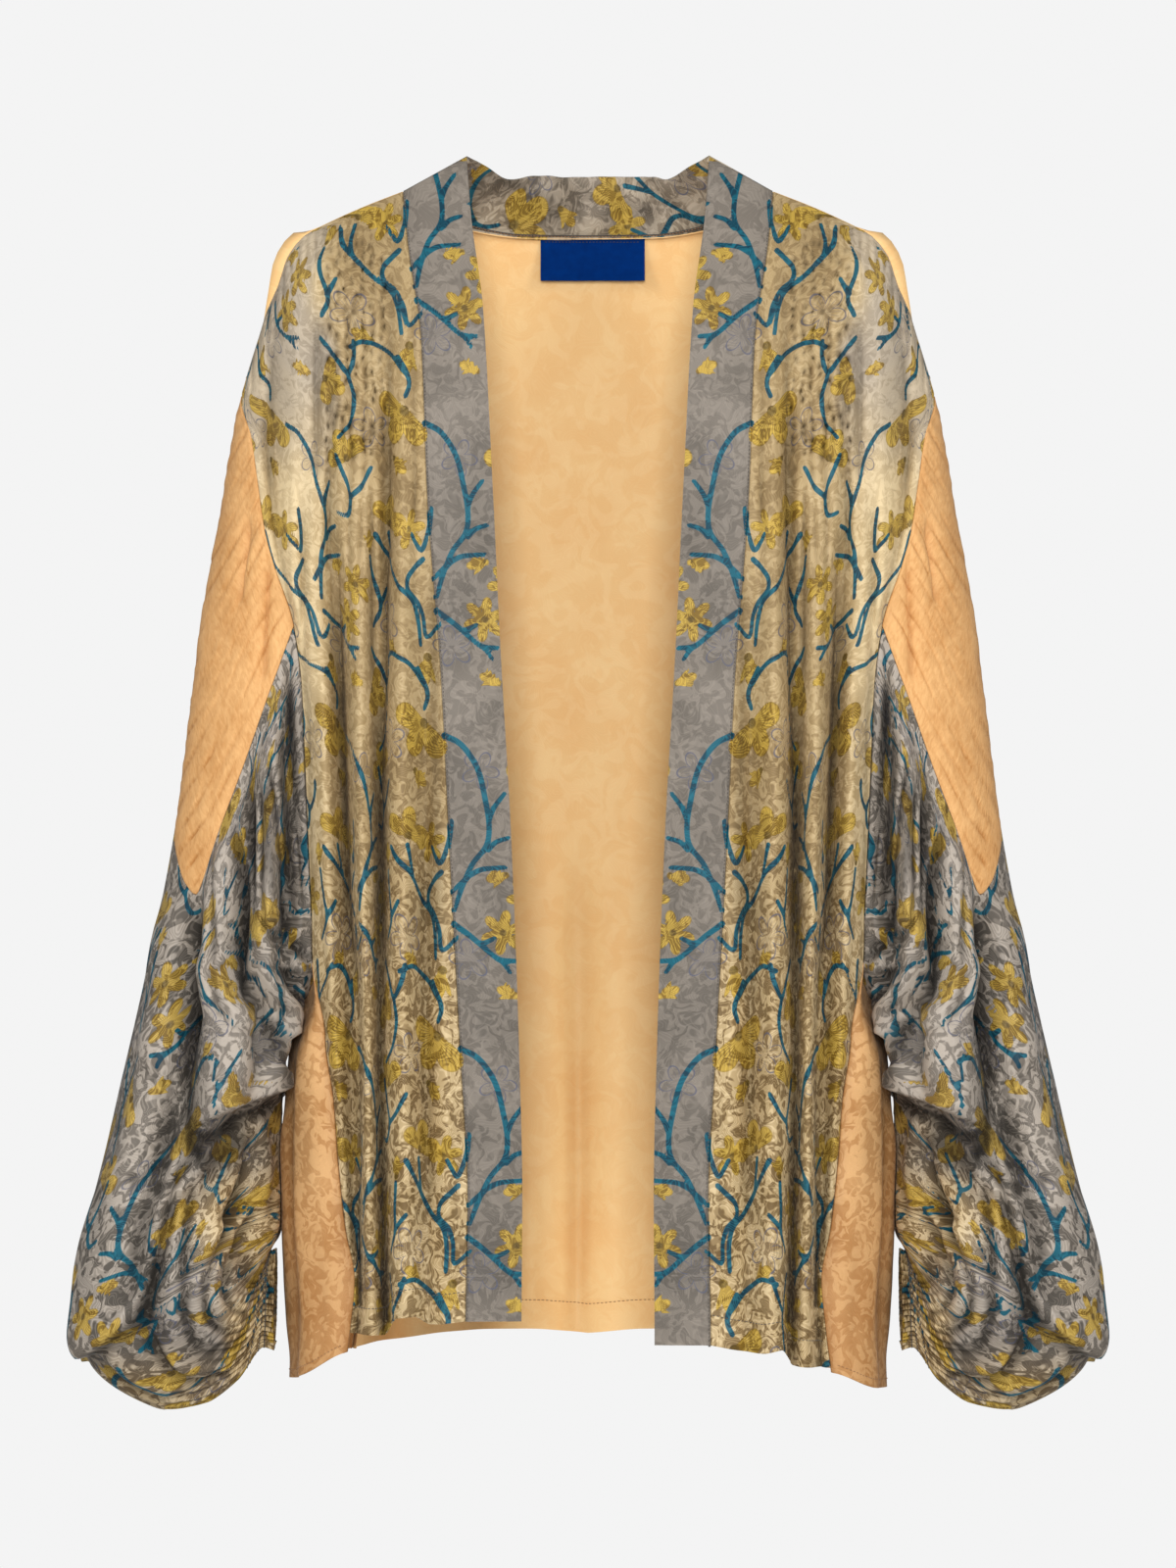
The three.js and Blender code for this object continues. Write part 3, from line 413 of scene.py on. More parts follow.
# Broad folds. A front's and the back's are placed by distance from the centre and by height, a side
# panel's by the share round it and by height, and a sleeve half's by share and by distance down.
FRONT_FOLDS = (
    Fold(-60, 124.6, 130, 127, -760, -13, 5),
    Fold(-120, 172, 152, 147, -760, -12, 5.5),
    Fold(-200, 137.6, 135.8, 131, -480, -6, 4),
    Fold(-240, 101, 103.5, 101, -760, -7, 7),
    Fold(-90, 203, 201, 190, -300, -6, 5),
    Fold(-180, 117, 117, 114, -760, 7, 11),
    Fold(-220, 146, 141, 138, -760, 8, 7),
    Fold(-200, 176, 166, 158, -740, 9, 8),
    Fold(-60, 184, 187, 180, -330, 5, 9),
)
BACK_FOLDS = (
    Fold(-420, -8, -6, -7, -770, 7, 11),
    Fold(-300, 62, 66, 70, -770, 9, 15),
    Fold(-340, -58, -64, -70, -770, 9, 15),
    Fold(-180, 104, 108, 112, -770, -8, 13),
    Fold(-160, -106, -110, -112, -770, -8, 13),
    Fold(-140, 152, 146, 134, -770, 10, 12),
    Fold(-150, -150, -146, -136, -770, 10, 12),
)
SIDE_FOLDS = (
    Fold(-560, 0.3, 0.34, 0.36, -790, -5, 0.07),
    Fold(-600, 0.68, 0.66, 0.62, -790, -5, 0.08),
)
SLEEVE_FOLDS = (
    Fold(300, 0.05, 0.09, 0.13, 520, -12, 0.04),
    Fold(330, 0.17, 0.19, 0.24, 560, 11, 0.055),
    Fold(360, 0.29, 0.31, 0.34, 580, -9, 0.04),
    Fold(400, 0.42, 0.43, 0.46, 640, 14, 0.075),
    Fold(455, 0.57, 0.58, 0.6, 700, -13, 0.045),
    Fold(470, 0.74, 0.76, 0.78, 800, 6, 0.12),
    Fold(585, 0.3, 0.38, 0.34, 690, -10, 0.07),
    Fold(600, 0.12, 0.13, 0.16, 860, 7, 0.06),
    Fold(640, 0.24, 0.26, 0.3, 860, -6, 0.045),
    Fold(650, 0.4, 0.42, 0.44, 860, 8, 0.07),
    Fold(680, 0.62, 0.6, 0.56, 862, -8, 0.05),
    Fold(730, 0.86, 0.8, 0.74, 862, -7, 0.05),
)

# Creases of one front, by how far from the centre and how far down they lie, seen from the front.
FRONT_CREASES = (
    Crease(((124.6, 46), (124.6, 228), (126.5, 277), (127, 337), (129, 363), (130.8, 464), (132, 561),
            (130.8, 640), (127, 740)), -9, 2.4, Profile.SHARP, (0.4, 0)),
    Crease(((137, 196), (136, 270), (135, 340)), -5, 2.6),
    Crease(((171.7, 96), (171.7, 215)), -4, 3),
    Crease(((191.6, 80), (201.5, 140), (201, 226)), -3.5, 3.5),
    Crease(((181, 205), (179.5, 290), (176, 420)), -5, 3),
    Crease(((159.3, 215), (156.9, 266), (154.4, 363), (151.9, 451), (149.4, 489), (143.8, 536),
            (143.2, 633), (144.5, 730)), -9, 2.4, Profile.SHARP, (0.2, 0)),
    Crease(((103, 380), (102, 515), (101, 690)), -4, 5),
    Crease(((103, 120), (101.5, 209), (97.5, 266), (94, 345), (90, 440)), -4, 2.2, Profile.SHARP),
    Crease(((116.6, 215), (116, 420), (112, 745)), 3, 6),
    Crease(((110, 60), (109.5, 150), (108, 260)), -2, 2.4),
    Crease(((117, 50), (116.5, 140), (116, 240)), 1.5, 3),
    Crease(((147, 330), (144, 480), (138, 740)), 3, 4.5),
    Crease(((167, 300), (165, 420), (163, 560)), 4, 5),
    Crease(((172, 430), (166, 520), (158, 640), (153, 740)), -3.5, 3),
    Crease(((186, 250), (184, 330), (178, 410)), 3, 4),
    Crease(((96, 420), (90, 560), (86, 745)), 2, 4),
    Crease(((142, 95), (141, 205), (146, 290)), -2.2, 2),
    Crease(((152, 60), (150, 180), (151, 330)), -2.4, 2),
    Crease(((163, 60), (163, 200), (166, 300)), -2.2, 2),
)
# Creases of one sleeve half in the same measure.
SLEEVE_CREASES = (
    Crease(((250, 455), (248.5, 508), (249, 549), (251, 590), (247, 622)), -15, 5.5, fade=(0.2, 0.1)),
    Crease(((257, 622), (259, 581), (256.5, 549), (255, 508), (255, 462)), 7, 16, Profile.LAP, (0.15, 0.2)),
    Crease(((243, 500), (240.5, 550), (243, 608)), 7, 14, Profile.LAP, (0.2, 0.05)),
    Crease(((250, 614), (245, 611), (227.2, 602), (207, 594), (199, 588)), 13, 30,
           Profile.LAP, (0.08, 0.08)),
    Crease(((248, 626), (227, 615), (208, 606), (198, 598)), -12, 6, fade=(0.1, 0.1)),
    Crease(((214, 565), (211, 554), (203, 522), (201.7, 490), (203, 450)), 7, 10, Profile.LAP, (0.1, 0.3)),
    Crease(((203, 600), (201, 570), (199, 548)), -7, 3.5, fade=(0.1, 0.3)),
    Crease(((204, 498), (192, 515), (180, 519), (170, 512)), 9, 12, Profile.LAP),
    Crease(((206, 482), (199, 499), (193, 510)), -10, 3),
    Crease(((187, 498), (179, 507), (170, 508)), -11, 4.5),
    Crease(((213, 562), (200, 556), (190, 543), (181, 524)), 8, 10, Profile.LAP),
    Crease(((206, 566), (196, 562), (186, 552)), -8, 3.5),
    Crease(((322, 764), (308, 753), (294.5, 743), (283.7, 726), (275.7, 699), (264, 655), (256, 625)),
           11, 24, Profile.LAP, (0.1, 0.2)),
    Crease(((300, 754), (287, 744), (278, 728), (270, 699), (259, 655)), -7, 4),
    Crease(((246, 626), (252, 640), (263, 652), (276, 658)), -10, 4.5),
    Crease(((229, 500), (226, 545), (229, 598)), 7, 12),
    Crease(((236, 440), (233, 490), (232, 560)), -6, 2.4),
    Crease(((224, 418), (220, 452), (217, 490), (219, 550)), -9, 2.4),
    Crease(((215, 402), (213, 440), (211, 480)), -8, 2),
    Crease(((208, 392), (205, 430), (205, 468), (204, 490)), -10, 2.4),
    Crease(((201.5, 378), (197, 425), (194, 470), (191, 500)), -10, 2.4),
    Crease(((195, 360), (190, 410), (186, 460), (184, 492)), -9, 2.4),
    Crease(((189, 330), (184, 390), (180, 450), (178, 490)), -10, 2.6),
    Crease(((183, 318), (178, 380), (173, 450), (168, 500)), -9, 2.6),
    Crease(((176, 330), (170, 400), (163, 480)), -8, 3),
    Crease(((192, 380), (187, 430), (181, 480)), 6, 3.5),
    Crease(((204, 395), (200, 440), (198, 480)), 5, 3.5),
    Crease(((178, 330), (174, 400), (169, 470)), 5, 3.5),
    Crease(((206, 612), (214, 645), (227, 683), (238, 724), (240, 748)), -8, 4),
    Crease(((224, 618), (233, 665), (240, 712), (242, 752)), 7, 8),
    Crease(((250, 640), (251, 660), (255, 700), (254, 740), (244, 766)), -7, 3.5),
    Crease(((199, 604), (200, 645), (205, 684)), -6, 3),
    Crease(((212, 620), (216, 660), (224, 696)), -6, 2.6),
    Crease(((208, 650), (222, 672), (238, 700), (243, 728), (232, 746), (212, 746)), -9, 3.2),
    Crease(((206, 662), (217, 684), (228, 706), (230, 726), (218, 736), (206, 732)), -7, 2.8),
    Crease(((207, 656), (221, 680), (234, 704), (237, 727), (225, 741)), 6, 4),
    Crease(((258, 700), (262, 735), (258, 765), (246, 782)), 6, 8),
    Crease(((284, 742), (268, 766), (246, 778), (224, 772)), -8, 3.5),
    Crease(((300, 752), (282, 776), (256, 789)), 5, 5),
    Crease(((262, 480), (272, 560), (286, 640), (300, 700)), 4, 12),
    Crease(((270, 500), (283, 570), (298, 640), (306, 690)), -4.5, 8),
    Crease(((259, 636), (272, 644), (288, 650)), -5, 4),
)
# Deep shade in the closed pleats of a sleeve and of a front. Here a crease's height is its darkness.
SLEEVE_SHADES = (
    Crease(((248, 476), (247, 520), (249, 560), (251, 600), (249, 638)), 0.95, 4, fade=(0.2, 0.05)),
    Crease(((249, 622), (238, 621), (228, 615), (215, 608), (202, 601)), 0.95, 5, fade=(0.05, 0.15)),
    Crease(((250, 640), (236, 636), (222, 628), (206, 618)), 0.85, 13, fade=(0.1, 0.3)),
    Crease(((187, 500), (180, 508), (171, 509)), 0.9, 3.5, fade=(0.1, 0.1)),
    Crease(((190, 514), (189, 528), (186, 541)), 0.85, 3, fade=(0.1, 0.1)),
    Crease(((212, 545), (211, 565), (208, 598)), 0.85, 3.5, fade=(0.1, 0.1)),
    Crease(((203, 388), (201, 430), (198, 482)), 0.75, 1.8),
    Crease(((195, 376), (192, 430), (189, 482)), 0.8, 2),
    Crease(((188, 350), (184, 420), (179, 486)), 0.75, 2),
    Crease(((180, 340), (176, 420), (171, 492)), 0.85, 2.6),
    Crease(((213, 404), (211, 450), (208, 500)), 0.6, 1.8),
    Crease(((222, 424), (219, 470), (218, 540)), 0.6, 2),
    Crease(((303, 757), (290, 748), (279, 730), (271, 700)), 0.65, 4),
    Crease(((206, 738), (218, 738), (229, 727), (226, 704), (214, 680)), 0.55, 2.6),
    Crease(((284, 744), (267, 768), (246, 780), (226, 774)), 0.55, 3),
)
FRONT_SHADES = (
    Crease(((131, 350), (131, 500), (130, 640), (129, 760)), 0.75, 2.2, fade=(0.15, 0.02)),
    Crease(((151, 400), (150, 520), (150, 640), (149, 740)), 0.35, 3.5, fade=(0.2, 0.02)),
    Crease(((98, 250), (96.5, 360), (94.5, 450), (92, 540)), 0.45, 4.5, fade=(0.2, 0.3)),
)
# Creases of an insert, by how far from the centre and how far down they lie.
INSERT_CREASES = (
    Crease(((214, 228), (219, 266), (221, 292)), -2.4, 2.2, Profile.SHARP),
    Crease(((201, 254), (203, 278), (205, 340)), -2.4, 2.2, Profile.SHARP),
)
# Creases of a side panel, by the share round it and how far down they lie.
SIDE_CREASES = (
    Crease(((0.2, 560), (0.24, 650), (0.22, 760)), 3, 0.05),
    Crease(((0.42, 600), (0.4, 690), (0.46, 770)), 3, 0.06),
    Crease(((0.1, 640), (0.13, 720), (0.1, 770)), -2.5, 0.03),
)
# Creases of the back, by how far from the centre and how far down they lie.
BACK_CREASES = (
    Crease(((-7, 560), (-6, 650), (-7, 750)), 4, 5),
    Crease(((60, 610), (64, 690), (66, 752)), 3, 6),
    Crease(((-36, 640), (-38, 700), (-36, 752)), -2.5, 6),
    Crease(((118, 180), (122, 330), (126, 500)), -4, 6),
    Crease(((-122, 200), (-120, 360), (-128, 520)), -4, 6),
    Crease(((90, 120), (96, 260), (94, 420)), 3, 8),
    Crease(((-84, 130), (-90, 280), (-88, 400)), 3, 8),
)


def sleeve_section(down: Number) -> tuple[Array, Array, Array, Array, Array]:
    """Returns the sleeve's middle, half widths and depth at a distance down it."""
    out_x, out_z, in_x, in_z = (SLEEVE.read(name, down) for name in ("out_x", "out_z", "in_x", "in_z"))
    middle_x, middle_z = (out_x + in_x) / 2, (out_z + in_z) / 2
    return middle_x, middle_z, (out_x - in_x) / 2, (out_z - in_z) / 2, SLEEVE.read("deep", down)


def sleeve_point(turn: Number, down: Number, face: Number) -> Array:
    """Places a point of the smooth sleeve on the half ellipse of its section.

    Args:
        turn: 0 at the inner end, 1 at the outer end.
        down: the distance down the sleeve.
        face: -1 for the front half and 1 for the back.

    Returns:
        The points.
    """
    x, z, half_x, half_z, deep = sleeve_section(down)
    angle = np.pi * np.asarray(turn, float)
    return stack(x - half_x * np.cos(angle), face * deep * np.sin(angle), z - half_z * np.cos(angle))


def sleeve_normal(turn: Number, down: Number, face: Number) -> Array:
    """Returns the outward direction of the sleeve's ellipse at such a point."""
    _, _, half_x, half_z, deep = sleeve_section(down)
    half = np.hypot(half_x, half_z)
    angle = np.pi * np.asarray(turn, float)
    across, depth = -deep * np.cos(angle), face * half * np.sin(angle)
    return unit(stack(across * half_x / half, depth, across * half_z / half))


def outer_edge(z: Number) -> tuple[Array, Array]:
    """Returns x and y of the edge that a front or the back shares with the sleeve and the side panel."""
    down = np.maximum(ARMHOLE_TOP, -np.asarray(z, float))
    above = np.minimum(ARMHOLE_END, down)
    armhole = sleeve_point(SLEEVE.read("start", above), above, 1)
    corner = sleeve_point(SLEEVE.read("start", ARMHOLE_END), ARMHOLE_END, 1)
    eased = 1 - ramp(ARMHOLE_END, ARMHOLE_END + 48, down)
    x = SIDE.read("x", down) + (corner[0] - SIDE.read("x", ARMHOLE_END)) * eased
    y = SIDE.read("y", down) + (corner[1] - SIDE.read("y", ARMHOLE_END)) * eased
    below = down > ARMHOLE_END
    return np.where(below, x, armhole[..., 0]), np.where(below, y, armhole[..., 1])


def shoulder_point(at: Number) -> Array:
    """Returns points of the shoulder seam, from the neck (0) to the insert's top corner (1)."""
    return stack(*(SHOULDER.read(name, at) for name in "xyz"))


def shoulder_reach(z: Number) -> Array:
    """Returns how far the silhouette reaches at a height: the shoulder, and the outer edge below it."""
    knots = shoulder_point(np.linspace(0, 1, 200))
    down = -np.asarray(z, float)
    return np.where(down < ARMHOLE_TOP, np.interp(down, -knots[:, 2], knots[:, 0]), outer_edge(z)[0])


def shoulder_normal(at: Number) -> Array:
    """Returns the outward direction across the shoulder seam."""
    a = shoulder_point(np.clip(np.asarray(at, float) - 0.02, 0, 1))
    b = shoulder_point(np.clip(np.asarray(at, float) + 0.02, 0, 1))
    return unit(stack(a[..., 2] - b[..., 2], 0, b[..., 0] - a[..., 0]))


def unsettled(share: Array, fall: Array) -> Array:
    """Returns 1 at the shoulder seam, falling to 0 where the cloth hangs at its own width."""
    return 1 - ramp(0, lerp(SETTLE, SETTLE_OUT, share * share), fall)


def seam_depth(top: Array, fall: Array) -> Array:
    """Returns the depth that the cloth keeps from its shoulder seam at a fall below it."""
    return top[..., 1] * np.exp(-((fall / 30) ** 2))


def parted(share: Array, fall: Array) -> Array:
    """Returns how far a front and the back stand apart just below the seam, near its outer end."""
    return 1.6 * ramp(0, 8, fall) * ramp(0.7, 0.8, share) * (1 - ramp(0.96, 1, share))


def turned_hem(fall: Array, wide: float, height: float) -> Array:
    """Returns the step of a hem turned in over its width at the foot of a piece."""
    return height * ramp(wide, wide - 2, fall.max(1, keepdims=True) - fall)


def band_seam(down: Number) -> Array:
    """Returns points of the seam between the band and a front, down from the shoulder."""
    return stack(BAND.read("seam", down), -BAND.read("deep", down), -BAND_DROP - np.asarray(down, float))


def band_edge(down: Number, length: float) -> Array:
    """Returns points of the band's free edge for a band of that length."""
    back = BAND_TUCK * ramp(0, 60, down)
    drop = -np.asarray(down, float) * (length / (length - BAND_DROP))
    return stack(BAND.read("edge", down), -BAND.read("deep", down) + back, drop)


def grid(across: int, along: int, start: float = 0, end: float = 1) -> tuple[Array, Array]:
    """Makes the two parameters of a surface.

    Args:
        across: cells across the piece.
        along: cells down the piece.
        start: the first value across.
        end: the last value across.

    Returns:
        A column of values across and a row of values from 0 to 1 down.
    """
    return np.linspace(start, end, across + 1)[:, None], np.linspace(0, 1, along + 1)[None, :]


def normals_of(points: Array, toward: Sequence[float]) -> Array:
    """Works out a grid's unit normals as the cross product of its two slopes.

    Args:
        points: the grid.
        toward: the direction that they face on the whole.

    Returns:
        One normal for each point.
    """
    cross = unit(np.cross(np.gradient(points, axis=0), np.gradient(points, axis=1)))
    return cross * np.sign((cross @ np.asarray(toward, float)).mean() or 1)


def hollows(height: Array, reach: tuple[int, int], deep: float) -> Array:
    """Works out how far each place is sunk, for painted shade: the mean height of a window round it, less
    its own.

    Args:
        height: how far the cloth stands out over a grid.
        reach: half the window's cells, across and down.
        deep: the sinking that counts as half.

    Returns:
        0 on a ridge, rising towards 1 where the cloth is sunk deep, as one number a point.
    """
    mean = height
    for axis, far in enumerate(reach):
        widths = [(far + 1, far) if k == axis else (0, 0) for k in range(2)]
        total = np.cumsum(np.pad(mean, widths, mode="edge"), axis=axis)
        size, count = 2 * far + 1, total.shape[axis]
        ahead, behind = (np.take(total, np.arange(*ends), axis=axis)
                         for ends in ((size, count), (0, count - size)))
        mean = (ahead - behind) / size
    sunk = np.maximum(mean - height, 0)
    return (sunk / (sunk + deep))[..., None]


def lengths_of(points: Array, axis: int) -> Array:
    """Returns how far along the cloth each point of a grid lies from the grid's first row or column."""
    steps = np.linalg.norm(np.diff(points, axis=axis), axis=-1)
    zero = np.zeros_like(np.take(steps, [0], axis=axis))
    return np.cumsum(np.concatenate([zero, steps], axis=axis), axis=axis)


@dataclass
class Wall:
    """A closed wall of cloth about a grid of its middle points."""

    name: str
    middle: Array
    toward: tuple[float, float, float]
    cloth: Array
    relief: Number = 0.0
    thick: float = CLOTH
    marks: dict[str, Array] = field(default_factory=dict)
    turned: tuple[str, ...] = ()

    EDGES = {"first": (0, 0), "last": (0, -1), "top": (1, 0), "foot": (1, -1)}

    def _turn_in(self, edge: str) -> None:
        """Rolls a sewn edge inwards over its seam allowance, with three rows of the grid.

        Where a sharp corner turns the cloth away from the edge's own facing, nothing is rolled.

        Args:
            edge: first, last, top or foot.
        """
        axis, end = self.EDGES[edge]
        inner = 1 if end == 0 else -2
        row, own = (np.take(self.middle, k, axis=axis) for k in (end, inner))
        normal = np.take(self.normal, end, axis=axis)
        back = unit(own - row)
        sound = ramp(0, 0.3, normal @ unit(normal.mean(0)))[:, None]
        steps = ((0.95, 0.0, 1.0, 0.0), (SEAM_ROLL, 0.4, 0.7, 0.7), (SEAM_ROLL, SEAM_ALLOWANCE, 0.0, 1.0))
        rows = [row + back * into - normal * deep * sound for into, deep, _, _ in steps]
        turned = [unit(normal * up - back * out) for _, _, up, out in steps]
        if end == 0:
            rows, turned = rows[::-1], turned[::-1]
        grids = [np.stack(part, axis=axis) for part in (rows, turned)]
        keep = [slice(None)] * 3
        keep[axis] = slice(1, None) if end == 0 else slice(None, -1)
        kept = [self.middle[tuple(keep)], self.normal[tuple(keep)]]
        pairs = [(new, old) if end == 0 else (old, new) for new, old in zip(grids, kept)]
        self.middle, self.normal = (np.concatenate(pair, axis=axis) for pair in pairs)
        more = (2, 0) if end == 0 else (0, 2)
        widths = [more if k == axis else (0, 0) for k in range(2)]
        self.relief = np.pad(self.relief, widths, mode="constant")
        self.cloth = np.pad(self.cloth, widths + [(0, 0)], mode="edge")
        for key, value in self.marks.items():
            self.marks[key] = np.pad(value, widths + [(0, 0)] * (value.ndim - 2), mode="edge")

    def build(self, materials: Sequence[bpy.types.Material]) -> bpy.types.Object:
        """Makes the mesh: the grid moved out and in by half the thickness, joined round its rim.

        Args:
            materials: the outer side's and the inner side's.

        Returns:
            The new object.
        """
        self.relief = np.broadcast_to(self.relief, self.middle.shape[:2]).astype(float)
        self.normal = normals_of(self.middle, self.toward)
        self.middle = self.middle + self.normal * self.relief[..., None]
        self.normal = normals_of(self.middle, self.toward)
        self.relief = np.zeros_like(self.relief)
        for edge in self.turned:
            self._turn_in(edge)
        self.outer = self.middle + self.normal * (self.thick / 2)
        inner = self.middle - self.normal * (self.thick / 2)
        nu, nv = self.middle.shape[:2]
        index = np.arange(nu * nv).reshape(nu, nv)
        a, b, c, d = index[:-1, :-1], index[1:, :-1], index[1:, 1:], index[:-1, 1:]
        front = np.stack([a, b, c, d], axis=-1).reshape(-1, 4)
        behind = front[:, ::-1] + nu * nv
        loop = np.concatenate([index[:, 0], index[-1, 1:], index[-2::-1, -1], index[0, -2:0:-1]])
        after = np.roll(loop, -1)
        rim = np.stack([loop, loop + nu * nv, after + nu * nv, after], axis=-1)
        faces = np.concatenate([front, behind, rim])
        middle = (nu // 2, nv // 2)
        du = self.middle[middle[0] + 1, middle[1]] - self.middle[middle]
        dv = self.middle[middle[0], middle[1] + 1] - self.middle[middle]
        if np.cross(du, dv) @ self.normal[middle] < 0:
            faces = faces[:, ::-1]
        points = np.concatenate([self.outer.reshape(-1, 3), inner.reshape(-1, 3)])
        side = np.concatenate([np.zeros(len(front)), np.ones(len(behind)), np.zeros(len(rim))])
        marks = {key: np.concatenate([value.reshape(nu * nv, -1)] * 2) for key, value in self.marks.items()}
        cloth = np.concatenate([self.cloth.reshape(-1, 2)] * 2)
        return make_object(self.name, points, faces, materials, side, cloth, marks)


def make_object(name: str, points: Array, faces: Array, materials: Sequence[bpy.types.Material],
                side: Union[Array, None] = None, cloth: Union[Array, None] = None,
                marks: Union[dict[str, Array], None] = None) -> bpy.types.Object:
    """Puts worked-out points and faces into a new object.

    Args:
        name: the object's name.
        points: the points in millimetres.
        faces: the corners of each four-sided face.
        materials: the object's materials.
        side: the material of each face.
        cloth: each point's place on the cloth in millimetres, for the UV map.
        marks: values of each point for the materials, of one or three numbers.

    Returns:
        The object, at the origin.
    """
    mesh = bpy.data.meshes.new(name)
    mesh.from_pydata((points * METRES).tolist(), [], faces.tolist())
    for material in materials:
        mesh.materials.append(material)
    if side is not None:
        mesh.polygons.foreach_set("material_index", side.astype(np.int32))
    mesh.polygons.foreach_set("use_smooth", np.ones(len(faces), bool))
    if cloth is not None:
        corners = np.empty(len(mesh.loops), np.int32)
        mesh.loops.foreach_get("vertex_index", corners)
        layer = mesh.uv_layers.new(name="cloth")
        layer.data.foreach_set("uv", (cloth[corners] * METRES).astype(np.float32).ravel())
    for key, value in (marks or {}).items():
        kind, slot = ("FLOAT", "value") if value.shape[1] == 1 else ("FLOAT_VECTOR", "vector")
        mesh.attributes.new(key, kind, "POINT").data.foreach_set(slot, value.astype(np.float32).ravel())
    mesh.set_sharp_from_angle(angle=np.radians(80))
    mesh.update()
    thing = bpy.data.objects.new(name, mesh)
    bpy.context.scene.collection.objects.link(thing)
    return thing


class Motif(Enum):
    """The kinds of printed flower."""

    STAR = "six pointed petals"
    FAN = "wide petals over half a circle"
    BUD = "three narrow lobes"
    SKETCH = "five petals drawn in outline"


@dataclass(frozen=True)
class Bloom:
    """One printed flower of the chart."""

    x: float
    y: float
    reach: float
    turn: float
    motif: Motif

    def rim(self, angle: Array) -> Array:
        """Works out the petals' outline as a share of the flower's reach, from lobed cosines.

        Args:
            angle: directions from the flower's middle.

        Returns:
            The outline's distance in each direction.
        """
        facing = np.abs(np.mod(angle + np.pi, 2 * np.pi) - np.pi)
        if self.motif is Motif.STAR:
            return 0.26 + 0.74 * np.abs(np.cos(3 * angle)) ** 0.8
        if self.motif is Motif.FAN:
            lobes = 0.46 + 0.54 * np.abs(np.cos(2.6 * angle)) ** 0.7
            return lobes * (1 - ramp(1.55, 1.95, facing)) + 0.14
        return (0.5 + 0.5 * np.abs(np.cos(4.2 * angle)) ** 0.7) * (1 - ramp(0.55, 0.8, facing)) + 0.2


@dataclass(frozen=True)
class Stem:
    """One printed stem of the chart, with its half width."""

    path: tuple[tuple[float, float], ...]
    half: float = 1.35


@dataclass(frozen=True)
class PrintChart:
    """One repeat of the flower-and-vine print, in cloth millimetres from the band's seam outwards."""

    wide: float
    high: float
    stems: tuple[Stem, ...]
    blooms: tuple[Bloom, ...]

    def _wrapped(self, x: Array, y: Array) -> tuple[Array, Array]:
        """Returns offsets brought within half a repeat of zero."""
        return (np.mod(x + self.wide / 2, self.wide) - self.wide / 2,
                np.mod(y + self.high / 2, self.high) - self.high / 2)

    def paint(self, x: Array, y: Array) -> dict[str, Array]:
        """Works out the print's marks: distances to the edges of stems and petals, and flower places.

        Args:
            x: places across the cloth.
            y: places down the cloth.

        Returns:
            The distance to the nearest stem's edge and to the nearest petal's edge, below zero
            inside, and the place within the nearest filled and sketched flower with its presence.
        """
        vine = np.full(x.shape, 9.0)
        for stem in self.stems:
            line = smooth_line(stem.path, 4)
            total = len(line) - 1
            for k, ((ax, ay), (bx, by)) in enumerate(zip(line, line[1:])):
                dx, dy = bx - ax, by - ay
                px, py = self._wrapped(x - (ax + bx) / 2, y - (ay + by) / 2)
                t = np.clip((px * dx + py * dy) / (dx * dx + dy * dy) + 0.5, 0, 1)
                away = np.hypot(px - (t - 0.5) * dx, py - (t - 0.5) * dy)
                half = stem.half * (1.3 - 0.3 * (k + t) / total)
                vine = np.minimum(vine, away - half)
        gold = np.full(x.shape, 9.0)
        places = {"bloom": np.zeros(x.shape + (3,)), "sketch": np.zeros(x.shape + (3,))}
        for bloom in self.blooms:
            px, py = self._wrapped(x - bloom.x, y - bloom.y)
            away, angle = np.hypot(px, py) / bloom.reach, np.arctan2(py, px) - bloom.turn
            inside = away < 1.35
            key = "sketch" if bloom.motif is Motif.SKETCH else "bloom"
            spot = stack(away * np.cos(angle), away * np.sin(angle), 1 - ramp(1.12, 1.3, away))
            places[key][inside] = spot[inside]
            if bloom.motif is not Motif.SKETCH:
                gold = np.minimum(gold, (away - bloom.rim(angle)) * bloom.reach * 0.7)
        return {"vine": vine[..., None], "gold": gold[..., None], **places}


